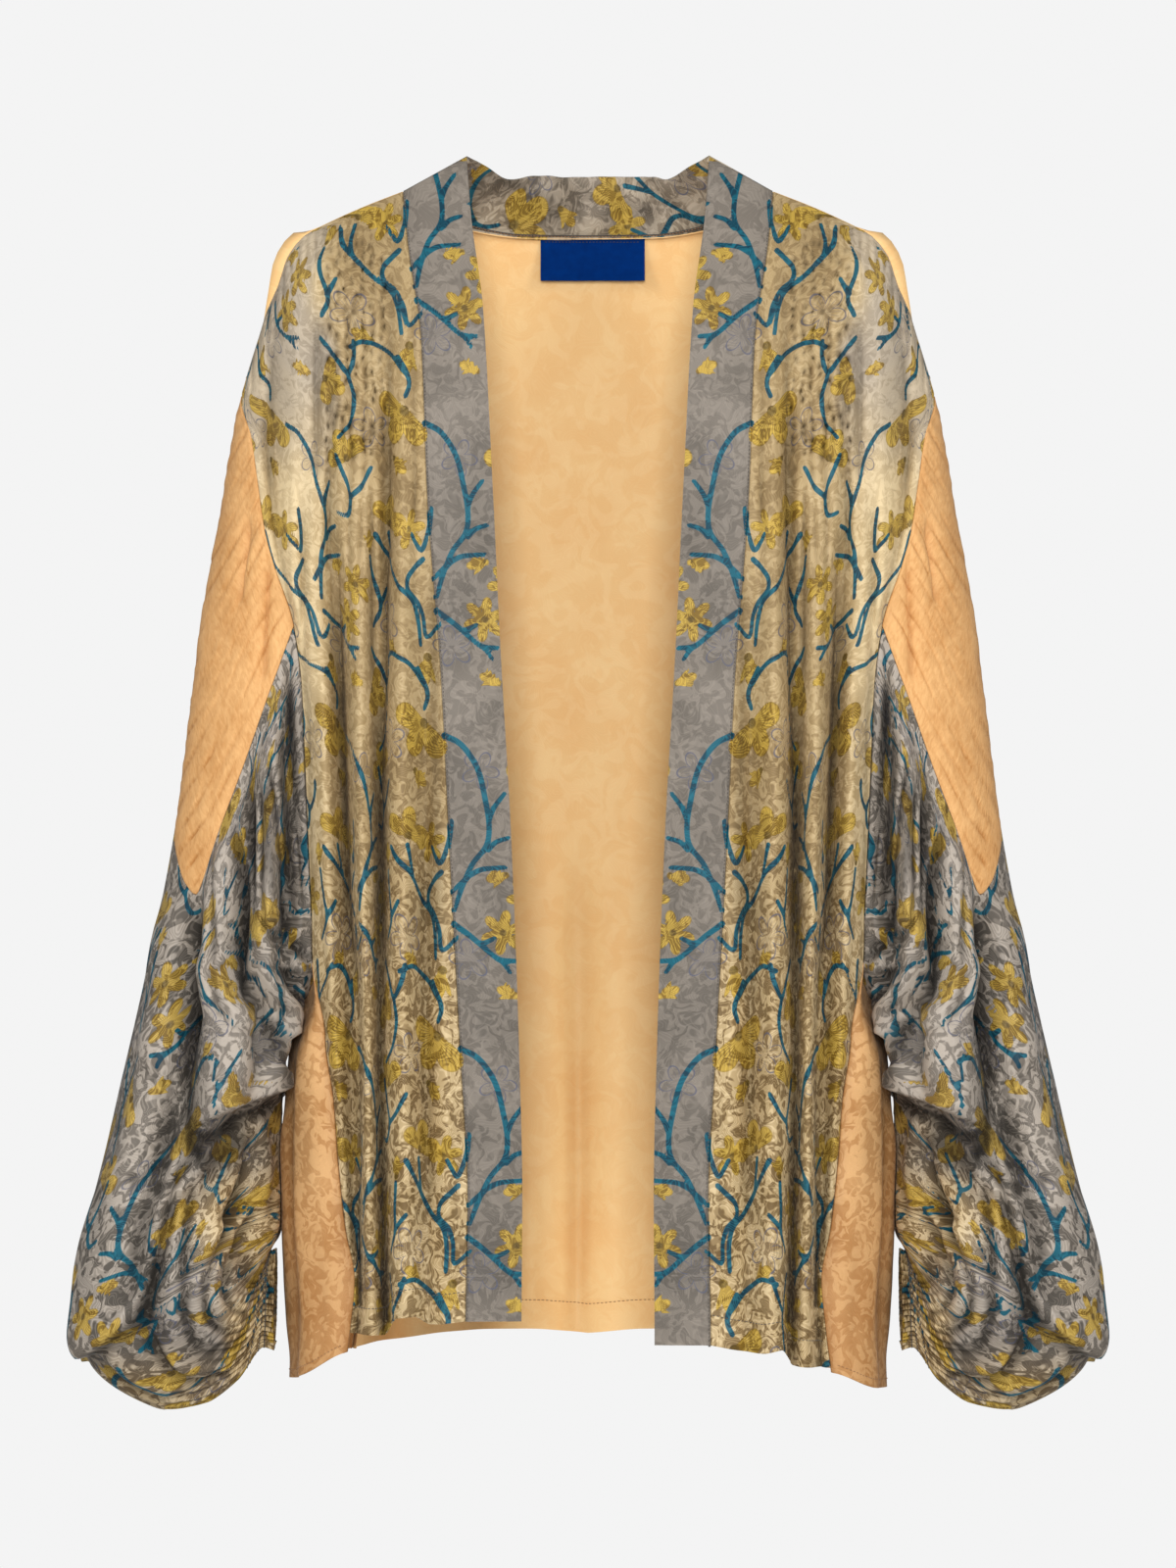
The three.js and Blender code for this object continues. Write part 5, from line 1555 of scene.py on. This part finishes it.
@dataclass
class FrontBand(Cloth):
    """The flat band down a front, folded along its free edge."""

    NAME = "front_band"
    FINISHES = (Dresser.BAND, Dresser.BAND)

    def wall(self) -> Wall:
        """Returns the band's cloth, with a low crown and a shallow wave down its length."""
        u, v = grid(*self.cells)
        foot = -float(FRONT_HEM.read(self.side.word, 0)) - BAND_DROP
        edge, seam = band_edge(v * foot, foot + BAND_DROP), band_seam(v * foot)
        points = lerp(edge, seam, u[..., None])
        down = -points[..., 2]
        crown = 1.4 * np.sin(np.pi * u) * ramp(0, 0.1, v)
        wave = 1.1 * crumple(u * 1.3, down / 75, 29) * ramp(0, 60, down) * (1 - ramp(0.75, 1, u))
        pucker = 0.35 * np.cos(down * 0.9 + 2 * crumple(0, down / 20, 31))
        pucker = pucker * ramp(0.8, 1, u) * ramp(0, 30, down)
        points = points - stack(0, crown + wave + pucker, 0)
        wide = np.linalg.norm(seam - edge, axis=-1)
        cloth = np.stack([-(1 - u) * wide, down - CHART_START], axis=-1)
        marks = self.printed(cloth, 0, 1.1, -0.12 - 0.12 * ramp(200, 500, down))
        return Wall(f"{self.node}_cloth", self.mirror(points), (0, -1, 0), cloth, 0.0, FOLDED, marks,
                    ("last", "top"))


@dataclass
class NeckBand(Cloth):
    """The band behind the neck, printed on both sides."""

    NAME = "neck_band"
    SIDED = False
    FINISHES = (Dresser.BAND, Dresser.BAND)

    def wall(self) -> Wall:
        """Returns the band's cloth, slightly buckled where it turns round the neck."""
        u, v = grid(*self.cells)
        at = 2 * v - 1
        side, share = np.where(at < 0, -1.0, 1.0), np.abs(at)
        edge, seam = (stack(side * NECK.read(f"{line}_x", share), NECK.read(f"{line}_y", share),
                            NECK.read(f"{line}_z", share)) for line in ("edge", "seam"))
        points = lerp(edge, seam, u[..., None])
        soft = crumple(u * 1.4, at * 4.2, 37) * (1 - ramp(0.86, 1, share))
        points = points + stack(0, 2.4 * soft * np.sin(np.pi * u), 1.2 * (1 - u) * crumple(0, at * 6, 39))
        cloth = np.stack([46 - 38 * u + 0 * v, at * 118 + 238 + 0 * u], axis=-1)
        # Painted light on the neck band: the pale mark lays satin highlights and darker patches over it,
        # and painted shade darkens it towards its ends and in the troughs of its buckles.
        marks = self.printed(cloth, 0.35, 2.4, 1.3 * crumple(u * 1.8, at * 5.5, 41))
        sunk = 0.55 * ramp(0.72, 1, share) * ramp(0.1, 0.7, u) + 0.3 * ramp(0.1, 0.8, -soft)
        marks["hollow"] = sunk[..., None]
        return Wall(f"{self.node}_cloth", points, (0, 1, 0.3), cloth, 0.0, FOLDED, marks,
                    ("last", "top", "foot"))


@dataclass
class SidePanel(Cloth):
    """The plain panel under the arm, between a front and the back."""

    NAME = "side_panel"
    FINISHES = (Dresser.SIDE, Dresser.PEACH)

    def _hanging(self, u: Array, down: Array) -> tuple[Array, Array]:
        """Returns x and y round the panel's section: a flattened half ellipse with its folds."""
        x, y = outer_edge(-down)
        fold = folds_of(SIDE_FOLDS, u, -down) + relief_of(SIDE_CREASES, u + 0 * down, down + 0 * u)
        fold = fold + 1.2 * crumple(u * 9, down / 70, 41) * ramp(0, 0.1, u) * (1 - ramp(0.9, 1, u))
        return x + (SIDE.read("reach", down) + fold - x) * np.sin(np.pi * u) ** 0.8, -y * np.cos(np.pi * u)

    def wall(self) -> Wall:
        """Returns the panel's cloth, drawn in under the armhole and free below it."""
        u, v = grid(*self.cells)
        start = lerp(UNDERARM, ARMHOLE_END, np.abs(2 * u - 1) ** UNDERARM_CURVE)
        top = sleeve_point(SLEEVE.read("start", start), start, np.where(u < 0.5, -1, 1))
        z = lerp(top[..., 2], SIDE_HEM.read(self.side.word, u), v)
        x, y = self._hanging(u, -z)
        top_x, top_y = self._hanging(u, -top[..., 2])
        drawn = 1 - ramp(0, 45, top[..., 2] - z)
        points = stack(x + (top[..., 0] - top_x) * drawn, y + (top[..., 1] - top_y) * drawn, z)
        cloth = np.stack([lengths_of(points, 0), -z], axis=-1)
        # Painted shade: darker towards the hem and where the panel's folds sink in.
        shade = (0.4 * ramp(600, 760, -z))[..., None]
        marks = {"hollow": shade + hollows(points[..., 0], (4, 3), 6.0)}
        return Wall(f"{self.node}_cloth", self.mirror(points), (self.side.value, 0, 0), cloth,
                    marks=marks, turned=("first", "last", "top"))


def share_of(turn: Array, down: Array) -> Array:
    """Returns the share of the half sleeve's cloth that a place round its section stands for."""
    start = SLEEVE.read("start", down)
    return (turn - start) / (1 - start)


@dataclass
class SleeveInsert(Cloth):
    """The ribbed panel at the head of a sleeve, from the front armhole over to the back."""

    NAME = "sleeve_insert"
    FINISHES = (Dresser.QUILT, Dresser.PEACH)

    def wall(self) -> Wall:
        """Returns the insert's cloth: ribs that climb inwards with pinched lines between them."""
        u, v = grid(*self.cells, start=-1)
        face, half = np.where(u < 0, -1.0, 1.0), 1 - np.abs(u)
        seam_turn, seam_down = INSERT_SEAM.read("round", half), INSERT_SEAM.read("down", half)
        down = lerp(INSERT_TOP, seam_down, v)
        start = SLEEVE.read("start", down)
        turn = lerp(start, 1, lerp(half, share_of(seam_turn, seam_down), v))
        points = sleeve_point(turn, down, face)
        edge_x, edge_y = outer_edge(-down)
        edge = stack(edge_x, face * edge_y, -down)
        points = np.where((half == 0)[..., None] & np.ones(v.shape + (1,), bool), edge, points)
        x, fall = points[..., 0], -points[..., 2]
        across, up = 0.5 * fall - 0.866 * x, 0.866 * fall + 0.5 * x
        phase = across / QUILT_PITCH + 0.55 * crumple(across / 30, up / 60, 43)
        groove = np.exp(-(np.abs(np.sin(np.pi * phase)) / 0.16) ** 1.2)
        strength = 0.25 + 0.75 * ramp(-0.5, 0.6, crumple(x / 20, fall / 26, 47))
        lines = groove * strength
        clear = ramp(0, 0.06, half) * ramp(0, 0.04, v) * (1 - ramp(0.96, 1, v))
        crush = 0.75 * crumple(across / 3.2, up / 13, 53, 2)
        creases = relief_of(INSERT_CREASES, x, fall)
        relief = (0.7 - 1.4 * lines + crush + 1.8 * creases) * clear
        cloth = np.stack([lengths_of(points, 0), fall], axis=-1)
        # The groove mark darkens the pinched lines as painted shade, and the other mark paints shade where
        # the ribbed cloth is sunk.
        marks = {"groove": (lines * clear)[..., None], "hollow": hollows(relief, (3, 3), 1.6)}
        return Wall(f"{self.node}_cloth", self.mirror(points), (self.side.value, 0, 0), cloth, relief,
                    marks=marks, turned=("first", "last", "foot"))


@dataclass
class SleeveHalf(Cloth):
    """The front or the back half of a balloon sleeve, from the insert's seam to the gathered cuff."""

    face: int = -1
    gathers: int = 24

    FINISHES = (Dresser.SLEEVE, Dresser.WRONG)

    @property
    def node(self) -> str:
        """Returns the solid that the piece stands for."""
        return f"sleeve_{'front' if self.face < 0 else 'back'}_{self.side.word}"

    def _pouches(self, share: Array, down: Array) -> Array:
        """Returns how far the two sagging pouches stand out: a slow swell that drops at its lip."""
        out = np.zeros(share.shape)
        for low, high, lip_low, lip_high, reach, height in (
                (0.14, 0.5, 592, 622, 110, 13), (0.53, 0.88, 692, 742, 150, 7)):
            along = (share - low) / (high - low)
            lip = lerp(lip_low, lip_high, along)
            out += (height * ramp(-0.25, 0.15, along) * (1 - ramp(0.85, 1.1, along))
                    * ramp(lip - reach, lip - 15, down) * (1 - ramp(lip, lip + 24, down)))
        return out

    def wall(self) -> Wall:
        """Returns the half's cloth: folds from the seam, pouches with hanging lips, and cuff gathers."""
        u, v = grid(*self.cells)
        seam_turn, seam_down = INSERT_SEAM.read("round", u), INSERT_SEAM.read("down", u)
        down = lerp(seam_down, SLEEVE_END, v)
        start = SLEEVE.read("start", down)
        share = lerp(share_of(seam_turn, seam_down), u, ramp(0, 0.5, v))
        turn = lerp(start, 1, share)
        base, normal = sleeve_point(turn, down, self.face), sleeve_normal(turn, down, self.face)
        clear = (ramp(0, 0.08, share) * (1 - ramp(0.93, 1, share)) * ramp(0, 0.07, v)
                 * (1 - ramp(CUFF - 40, CUFF, down)))
        folded, sag = (share, 1.0) if self.face < 0 else (0.95 * share + 0.04, 0.6)
        x, fall = base[..., 0], -base[..., 2]
        if self.face > 0:
            x, fall = 0.97 * x + 5, fall - 9
        sharp = relief_of(SLEEVE_CREASES, x, fall) * (1.0 if self.face < 0 else 0.75)
        broad = folds_of(SLEEVE_FOLDS, folded, down) + sag * self._pouches(folded, down)
        swayed = share * 13 + 0.4 * crumple(share * 4, down / 50, 59)
        ripple = 1.5 * crumple(swayed, down / 70, 61 + self.face)
        near = ramp(CUFF - 95, CUFF - 12, down)
        turns = 2 * np.pi * self.gathers * share + 2.5 * crumple(share * 8, down / 40, 67)
        drawn = 2.1 * np.cos(turns) * near * ramp(0, 0.03, share) * (1 - ramp(0.97, 1, share))
        frill = ramp(CUFF, SLEEVE_END, down) * 2.2 * crumple(share * 16, 0, 71)
        out = (broad + sharp + ripple) * clear + drawn + frill
        points = base + normal * out[..., None]
        lengths = lengths_of(base + normal * ((broad + sharp) * clear)[..., None], 0)
        from_outer = lengths[-1:] - lengths
        cloth = np.stack([from_outer + 14, down - CHART_START - 24 + 30 * self.face], axis=-1)
        inner = ramp(120, 60, x - 150 + 40 * crumple(x / 40, fall / 60, 73)) * ramp(560, 700, fall)
        low = ramp(730, 790, fall) * 0.6
        # Painted light: cloth that stands out is paler and troughs darker, painted shade darkens the outer
        # side below the pouch's lip, and the sleeve is paler towards its top.
        pale = np.clip(out / 26, -0.35, 0.7) - 0.5 * ramp(258, 284, x) * ramp(620, 690, fall)
        pale = pale + 0.35 * ramp(540, 440, fall)
        marks = self.printed(cloth, np.maximum(inner, low), 1, pale)
        # Painted shade: along the listed shades and where the cloth is sunk.
        shade = np.clip(relief_of(SLEEVE_SHADES, x, fall), 0, 1)[..., None]
        sunk = np.maximum(hollows(out, (3, 3), 2.2), hollows(out, (9, 8), 5.0))
        marks["hollow"] = np.maximum(sunk, shade)
        return Wall(f"{self.node}_cloth", self.mirror(points), (self.side.value * 0.5, self.face, 0),
                    cloth, 0.0, marks=marks, turned=("first", "last", "top"))


@dataclass
class NeckLabel(Cloth):
    """The blank label inside the back of the neck, sewn along its top edge."""

    wide: float = 67
    high: float = 27
    middle: float = 3
    lean: float = 7
    stand: float = 1.4

    NAME = "neck_label"
    SIDED = False
    FINISHES = (Dresser.TAPE, Dresser.TAPE)

    def wall(self) -> Wall:
        """Returns the label's tape, leaning away from the back towards its lower edge."""
        u, v = grid(*self.cells, start=-0.5, end=0.5)
        x = self.middle + u * self.wide + 0 * v
        top = -float(NECK.read("seam_z", 0)) + 1
        z = -top - v * self.high + 0.35 * crumple(u * 3, 0, 79)
        share = 0.175 * np.abs(x) / 42
        seam_y = NECK.read("seam_y", share / NECK_SHARE)
        turn = np.sin(np.pi / 2 * np.clip((-z - top + 1) / SHOULDER_FALL, 0, 1))
        back = lerp(seam_y, BACK_DEPTH.read("y", -z), turn)
        y = back - self.stand - self.lean * v ** 1.3 + 0.5 * crumple(u * 4, v * 2, 83) * v
        cloth = np.stack([x, -z + 0 * u], axis=-1)
        return Wall(f"{self.node}_tape", stack(x, y, z), (0, -1, 0), cloth, 0.0, TAPE)


@dataclass
class Trim:
    """Small sewn work that lies on a piece: its name, its solid's finish slot and its thread."""

    name: str
    thread: Thread
    slot: str

    def add(self, points: Array, faces: Array, dresser: Dresser) -> None:
        """Adds the trim as one object that rides with the jacket.

        Args:
            points: its points.
            faces: its four-sided faces.
            dresser: where its thread comes from.
        """
        thing = make_object(self.name, points, faces, dresser.wear(self.thread))
        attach(thing, "root")
        LOG.info("%s: %d faces", thing.name, len(faces))


def cord_mesh(line: Array, thick: float, sides: int = 6) -> tuple[Array, Array]:
    """Carries a round profile along a line: rings of points at right angles to it, closed at both ends.

    Args:
        line: the points of the line.
        thick: the cord's radius.
        sides: the corners of the profile.

    Returns:
        The points and the faces.
    """
    along = unit(np.gradient(line, axis=0))
    across = unit(np.cross(along, np.array([0.31, 0.2, 0.93])))
    up = np.cross(across, along)
    angle = np.linspace(0, 2 * np.pi, sides, endpoint=False)
    ring = across[:, None] * np.cos(angle)[:, None] + up[:, None] * np.sin(angle)[:, None]
    points = np.concatenate([(line[:, None] + thick * ring).reshape(-1, 3), line[:1], line[-1:]])
    i, j = np.meshgrid(np.arange(len(line) - 1), np.arange(sides), indexing="ij")
    a, b = i * sides + j, i * sides + (j + 1) % sides
    body = np.stack([a, b, b + sides, a + sides], axis=-1).reshape(-1, 4)
    k = np.arange(0, sides, 2)
    first, last = len(line) * sides, (len(line) - 1) * sides
    caps = [np.stack([0 * k + first, (k + 2) % sides, (k + 1) % sides, k], axis=-1),
            np.stack([0 * k + first + 1, last + k, last + (k + 1) % sides, last + (k + 2) % sides],
                     axis=-1)]
    return points, np.concatenate([body, *caps])


def stitch_mesh(line: Array, out: Array, pitch: float, thick: float) -> tuple[Array, Array]:
    """Lays short stitches end to end on a line: each is a bar of four sides, bowed away from the cloth.

    Args:
        line: the points of the line.
        out: the outward direction at each of them.
        pitch: one stitch to the next.
        thick: half the thread's width.

    Returns:
        The points and the faces.
    """
    far = lengths_of(line, 0)
    count = int(far[-1] // pitch)
    ends = (np.arange(count)[:, None] + np.linspace(0.14, 0.82, 4)) * pitch
    place = np.stack([np.interp(ends, far, line[:, k]) for k in range(3)], axis=-1)
    up = unit(np.stack([np.interp(ends, far, out[:, k]) for k in range(3)], axis=-1))
    across = unit(np.cross(up, unit(np.gradient(place, axis=1))))
    bow = np.array([-0.5, 0.9, 0.9, -0.5])[None, :, None] * thick
    wide = np.array([0.5, 1, 1, 0.5])[None, :, None] * thick
    corners = [place + up * (bow + thick * a) + across * wide * b
               for a, b in ((0, 1), (0.8, 0), (0, -1), (-0.8, 0))]
    points = np.stack(corners, axis=2).reshape(-1, 3)
    s, i, j = np.meshgrid(np.arange(count), np.arange(3), np.arange(4), indexing="ij")
    a = s * 16 + i * 4 + j
    b = s * 16 + i * 4 + (j + 1) % 4
    body = np.stack([a, b, b + 4, a + 4], axis=-1).reshape(-1, 4)
    start = np.arange(count)[:, None] * 16
    caps = [start + np.array([[3, 2, 1, 0]]), start + np.array([[12, 13, 14, 15]])]
    return points, np.concatenate([body, *caps])


def row_of(wall: Wall, axis: int, share: float) -> tuple[Array, Array]:
    """Returns one row or column of a built wall's outer points, and the outward directions there."""
    k = int(round(share * (wall.outer.shape[axis] - 1)))
    return np.take(wall.outer, k, axis=axis), np.take(wall.normal, k, axis=axis)


@dataclass
class Sewing:
    """The stitching and piping that shows: band seams, hems, neck piping, cuff shirring and label.

    The insets are shares of a piece's width or length, and the other sizes are in millimetres.
    """

    band_inset: float = 0.9
    hem_inset: float = 0.975
    label_inset: float = 0.06
    cuff_insets: tuple[float, ...] = (0.955, 0.967, 0.979)
    hem_pitch: float = 2.8
    seam_pitch: float = 2.4
    fine_pitch: float = 2.2
    half_thread: float = 0.24
    elastic: float = 0.4
    piping: float = 1.15

    def make(self, walls: dict[str, Wall], dresser: Dresser) -> None:
        """Lays every line of sewing on the built pieces.

        Args:
            walls: the built pieces by their solid's name.
            dresser: where the threads come from.
        """
        for side in Side:
            line, out = row_of(walls[f"front_band_{side.word}"], 0, self.band_inset)
            self._stitched(f"band_topstitch_{side.word}", line, out, self.seam_pitch,
                           Dresser.GREY_THREAD, "band_print", dresser)
            for piece in ("front_panel", "side_panel"):
                line, out = row_of(walls[f"{piece}_{side.word}"], 1, self.hem_inset)
                tint = Dresser.GREY_THREAD if piece == "front_panel" else Dresser.PEACH_THREAD
                slot = "front_print" if piece == "front_panel" else "plain_cloth"
                self._stitched(f"{piece}_hem_{side.word}", line[3:-3], out[3:-3], self.hem_pitch,
                               tint, slot, dresser)
            self._shirring(side, walls, dresser)
        line, out = row_of(walls["back_panel"], 1, self.hem_inset)
        inside = line - out * (CLOTH + 0.1)
        for name, row, away in (("back_hem_inside", inside, -out), ("back_hem_outside", line, out)):
            self._stitched(name, row, away, self.hem_pitch, Dresser.PEACH_THREAD, "plain_cloth", dresser)
        self._piping(dresser)
        label = walls["neck_label"]
        line, out = row_of(label, 1, self.label_inset)
        self._stitched("label_stitches", line[1:-1], out[1:-1], self.fine_pitch, Dresser.DARK_THREAD,
                       "label_cloth", dresser)

    def _stitched(self, name: str, line: Array, out: Array, pitch: float, thread: Thread, slot: str,
                  dresser: Dresser) -> None:
        """Adds one line of stitches that lies on the cloth."""
        points, faces = stitch_mesh(line + out * self.half_thread / 2, out, pitch, self.half_thread)
        Trim(name, thread, slot).add(points, faces, dresser)

    def _shirring(self, side: Side, walls: dict[str, Wall], dresser: Dresser) -> None:
        """Adds the rows of elastic thread round a cuff."""
        for k, share in enumerate(self.cuff_insets):
            front, out = row_of(walls[f"sleeve_front_{side.word}"], 1, share)
            back, behind = row_of(walls[f"sleeve_back_{side.word}"], 1, share)
            line = np.concatenate([front[4:-4], back[-5:3:-1]])
            away = np.concatenate([out[4:-4], behind[-5:3:-1]])
            name = f"cuff_shirring_{side.word}_{k + 1}"
            points, faces = cord_mesh(line + 0.1 * away, self.elastic, 4)
            Trim(name, Dresser.GREY_THREAD, "sleeve_print").add(points, faces, dresser)

    def _piping(self, dresser: Dresser) -> None:
        """Adds the bound seam inside the back of the neck, with the light line of its stitches."""
        at = np.linspace(-0.985, 0.985, 150)
        share, side = np.abs(at), np.where(at < 0, -1.0, 1.0)
        line = stack(side * NECK.read("seam_x", share), NECK.read("seam_y", share) - 1.7,
                     NECK.read("seam_z", share) + 0.4)
        inward = unit(stack(-line[:, 0] * 0.5, -60 + 0 * share, 0))
        points, faces = cord_mesh(line + inward * 0.6, self.piping, 8)
        Trim("neck_piping", Dresser.DARK_THREAD, "band_print").add(points, faces, dresser)
        self._stitched("neck_piping_stitches", line + inward * 1.75, inward, self.fine_pitch,
                       Dresser.PEACH_THREAD, "plain_cloth", dresser)


@dataclass
class Studio:
    """A pale floor, soft light and the camera in front, in metres.

    far is the camera's distance, middle the height that it looks at, plane the depth of the jacket's
    front, where frame_high is the picture's height, floor the floor's height and reach its radius.
    """

    far: float = 6.0
    middle: float = -0.4
    plane: float = -0.05
    frame_high: float = 0.992
    sensor: float = 36.0
    floor: float = -1.7
    reach: float = 5.0
    corners: int = 64
    air: float = 0.17

    def make(self) -> None:
        """Makes the camera, the lights, the air and the floor."""
        scene = bpy.context.scene
        scene.view_settings.view_transform = "Standard"
        self._camera(scene)
        self._air(scene)
        for side in Side:
            self._light(f"{side.word} light", (side.value * 2.5, -1.9, 1.3), 1.2, 40.0, (1.0, 0.985, 0.955))
        self._light("front light", (0.0, -4.2, 0.4), 1.3, 118.0, (1.0, 0.985, 0.96))
        angle = np.linspace(0, 2 * np.pi, self.corners, endpoint=False)
        radius, level = self.reach / METRES, self.floor / METRES
        rim = stack(radius * np.cos(angle), radius * np.sin(angle), level)
        points = np.concatenate([rim, [[0, 0, level]]])
        k = np.arange(0, self.corners, 2)
        faces = np.stack([0 * k + self.corners, k, k + 1, (k + 2) % self.corners], axis=-1)
        shader = Shader(bpy.data.materials.new("pale floor"))
        spots = shader.noise(shader.node("ShaderNodeTexCoord", {}, {}, "Object"), 3, 2)
        base = shader.blend(spots, colour(236, 236, 236), colour(242, 242, 242))
        floor = make_object("floor", points, faces, [shader.finish(base, 0.8, spots, 0.0001, {})])

    def _camera(self, scene: bpy.types.Scene) -> None:
        """Puts the camera level, in front of the middle of the jacket."""
        data = bpy.data.cameras.new("front camera")
        data.sensor_fit = "VERTICAL"
        data.sensor_height = self.sensor
        data.lens = self.sensor * (self.far + self.plane) / self.frame_high
        camera = bpy.data.objects.new("front camera", data)
        camera.location = (0.0, -self.far, self.middle)
        camera.rotation_euler = (np.pi / 2, 0.0, 0.0)
        scene.collection.objects.link(camera)
        scene.camera = camera

    def _air(self, scene: bpy.types.Scene) -> None:
        """Makes the pale surroundings: bright behind the jacket, softer as light on it."""
        shader = Shader(bpy.data.worlds.new("pale surroundings"))
        seen = shader.node("ShaderNodeBackground", {}, {"Color": (0.904, 0.904, 0.904, 1)})
        glow = {"Color": (0.98, 0.985, 1.0, 1), "Strength": self.air}
        lit = shader.node("ShaderNodeBackground", {}, glow)
        camera = shader.node("ShaderNodeLightPath", {}, {}, "Is Camera Ray")
        mixed = shader.node("ShaderNodeMixShader", {}, {0: camera, 1: lit, 2: seen})
        shader.node("ShaderNodeOutputWorld", {}, {"Surface": mixed}, None)
        scene.world = shader.owner

    def _light(self, name: str, place: tuple[float, float, float], size: float, power: float,
               tint: tuple[float, float, float]) -> None:
        """Adds a square soft light that faces the jacket.

        Args:
            name: its name.
            place: where it stands, in metres.
            size: its width.
            power: its strength in watts.
            tint: its colour.
        """
        data = bpy.data.lights.new(name, "AREA")
        data.size, data.energy, data.color = size, power, tint
        light = bpy.data.objects.new(name, data)
        light.location = place
        away = np.array(place) - np.array([0, 0, self.middle])
        turn = np.arctan2(away[0], -away[1])
        tilt = np.arctan2(np.hypot(away[0], away[1]), away[2])
        light.rotation_euler = (tilt, 0.0, turn)
        bpy.context.scene.collection.objects.link(light)


def pieces() -> list[Cloth]:
    """Returns every cut piece of the jacket, in the order that it is sewn."""
    cut: list[Cloth] = [
        BackPanel(cells=(100, 150), flat=(0.62, 0.78), area=0.33),
        NeckBand(cells=(24, 150), flat=(0.042, 0.25), area=0.0104, sewn_to=("back_panel_cloth",),
                 slot="band_print"),
        NeckLabel(cells=(30, 14), flat=(0.067, 0.027), area=0.0018, sewn_to=("back_panel_cloth",),
                  slot="label_cloth"),
    ]
    for side in Side:
        word = side.word
        body = (f"front_panel_{word}_cloth", "back_panel_cloth")
        cut += [
            FrontPanel(side, (98, 378), (0.30, 0.76), 0.165, "gathered", ("back_panel_cloth",),
                       "front_print"),
            FrontBand(side, (22, 400), (0.042, 0.75), 0.031, "hung", (body[0],), "band_print"),
            SidePanel(side, (50, 90), (0.16, 0.27), 0.041, "hung", body, "plain_cloth"),
            SleeveInsert(side, (100, 114), (0.24, 0.32), 0.05, "hung", body, "quilted_cloth"),
            *(SleeveHalf(side, cells, (0.30, 0.48), 0.12, "gathered", (f"sleeve_insert_{word}_cloth",),
                         "sleeve_print", face) for cells, face in (((136, 190), -1), ((74, 136), 1))),
        ]
    return cut


def main() -> None:
    """Builds the jacket piece by piece, then its sewing and the studio."""
    logging.basicConfig(level=logging.INFO, format="%(message)s")
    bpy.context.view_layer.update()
    dresser = Dresser()
    walls = {piece.node: piece.make(dresser) for piece in pieces()}
    Sewing().make(walls, dresser)
    Studio().make()


if __name__ == "__main__":
    main()
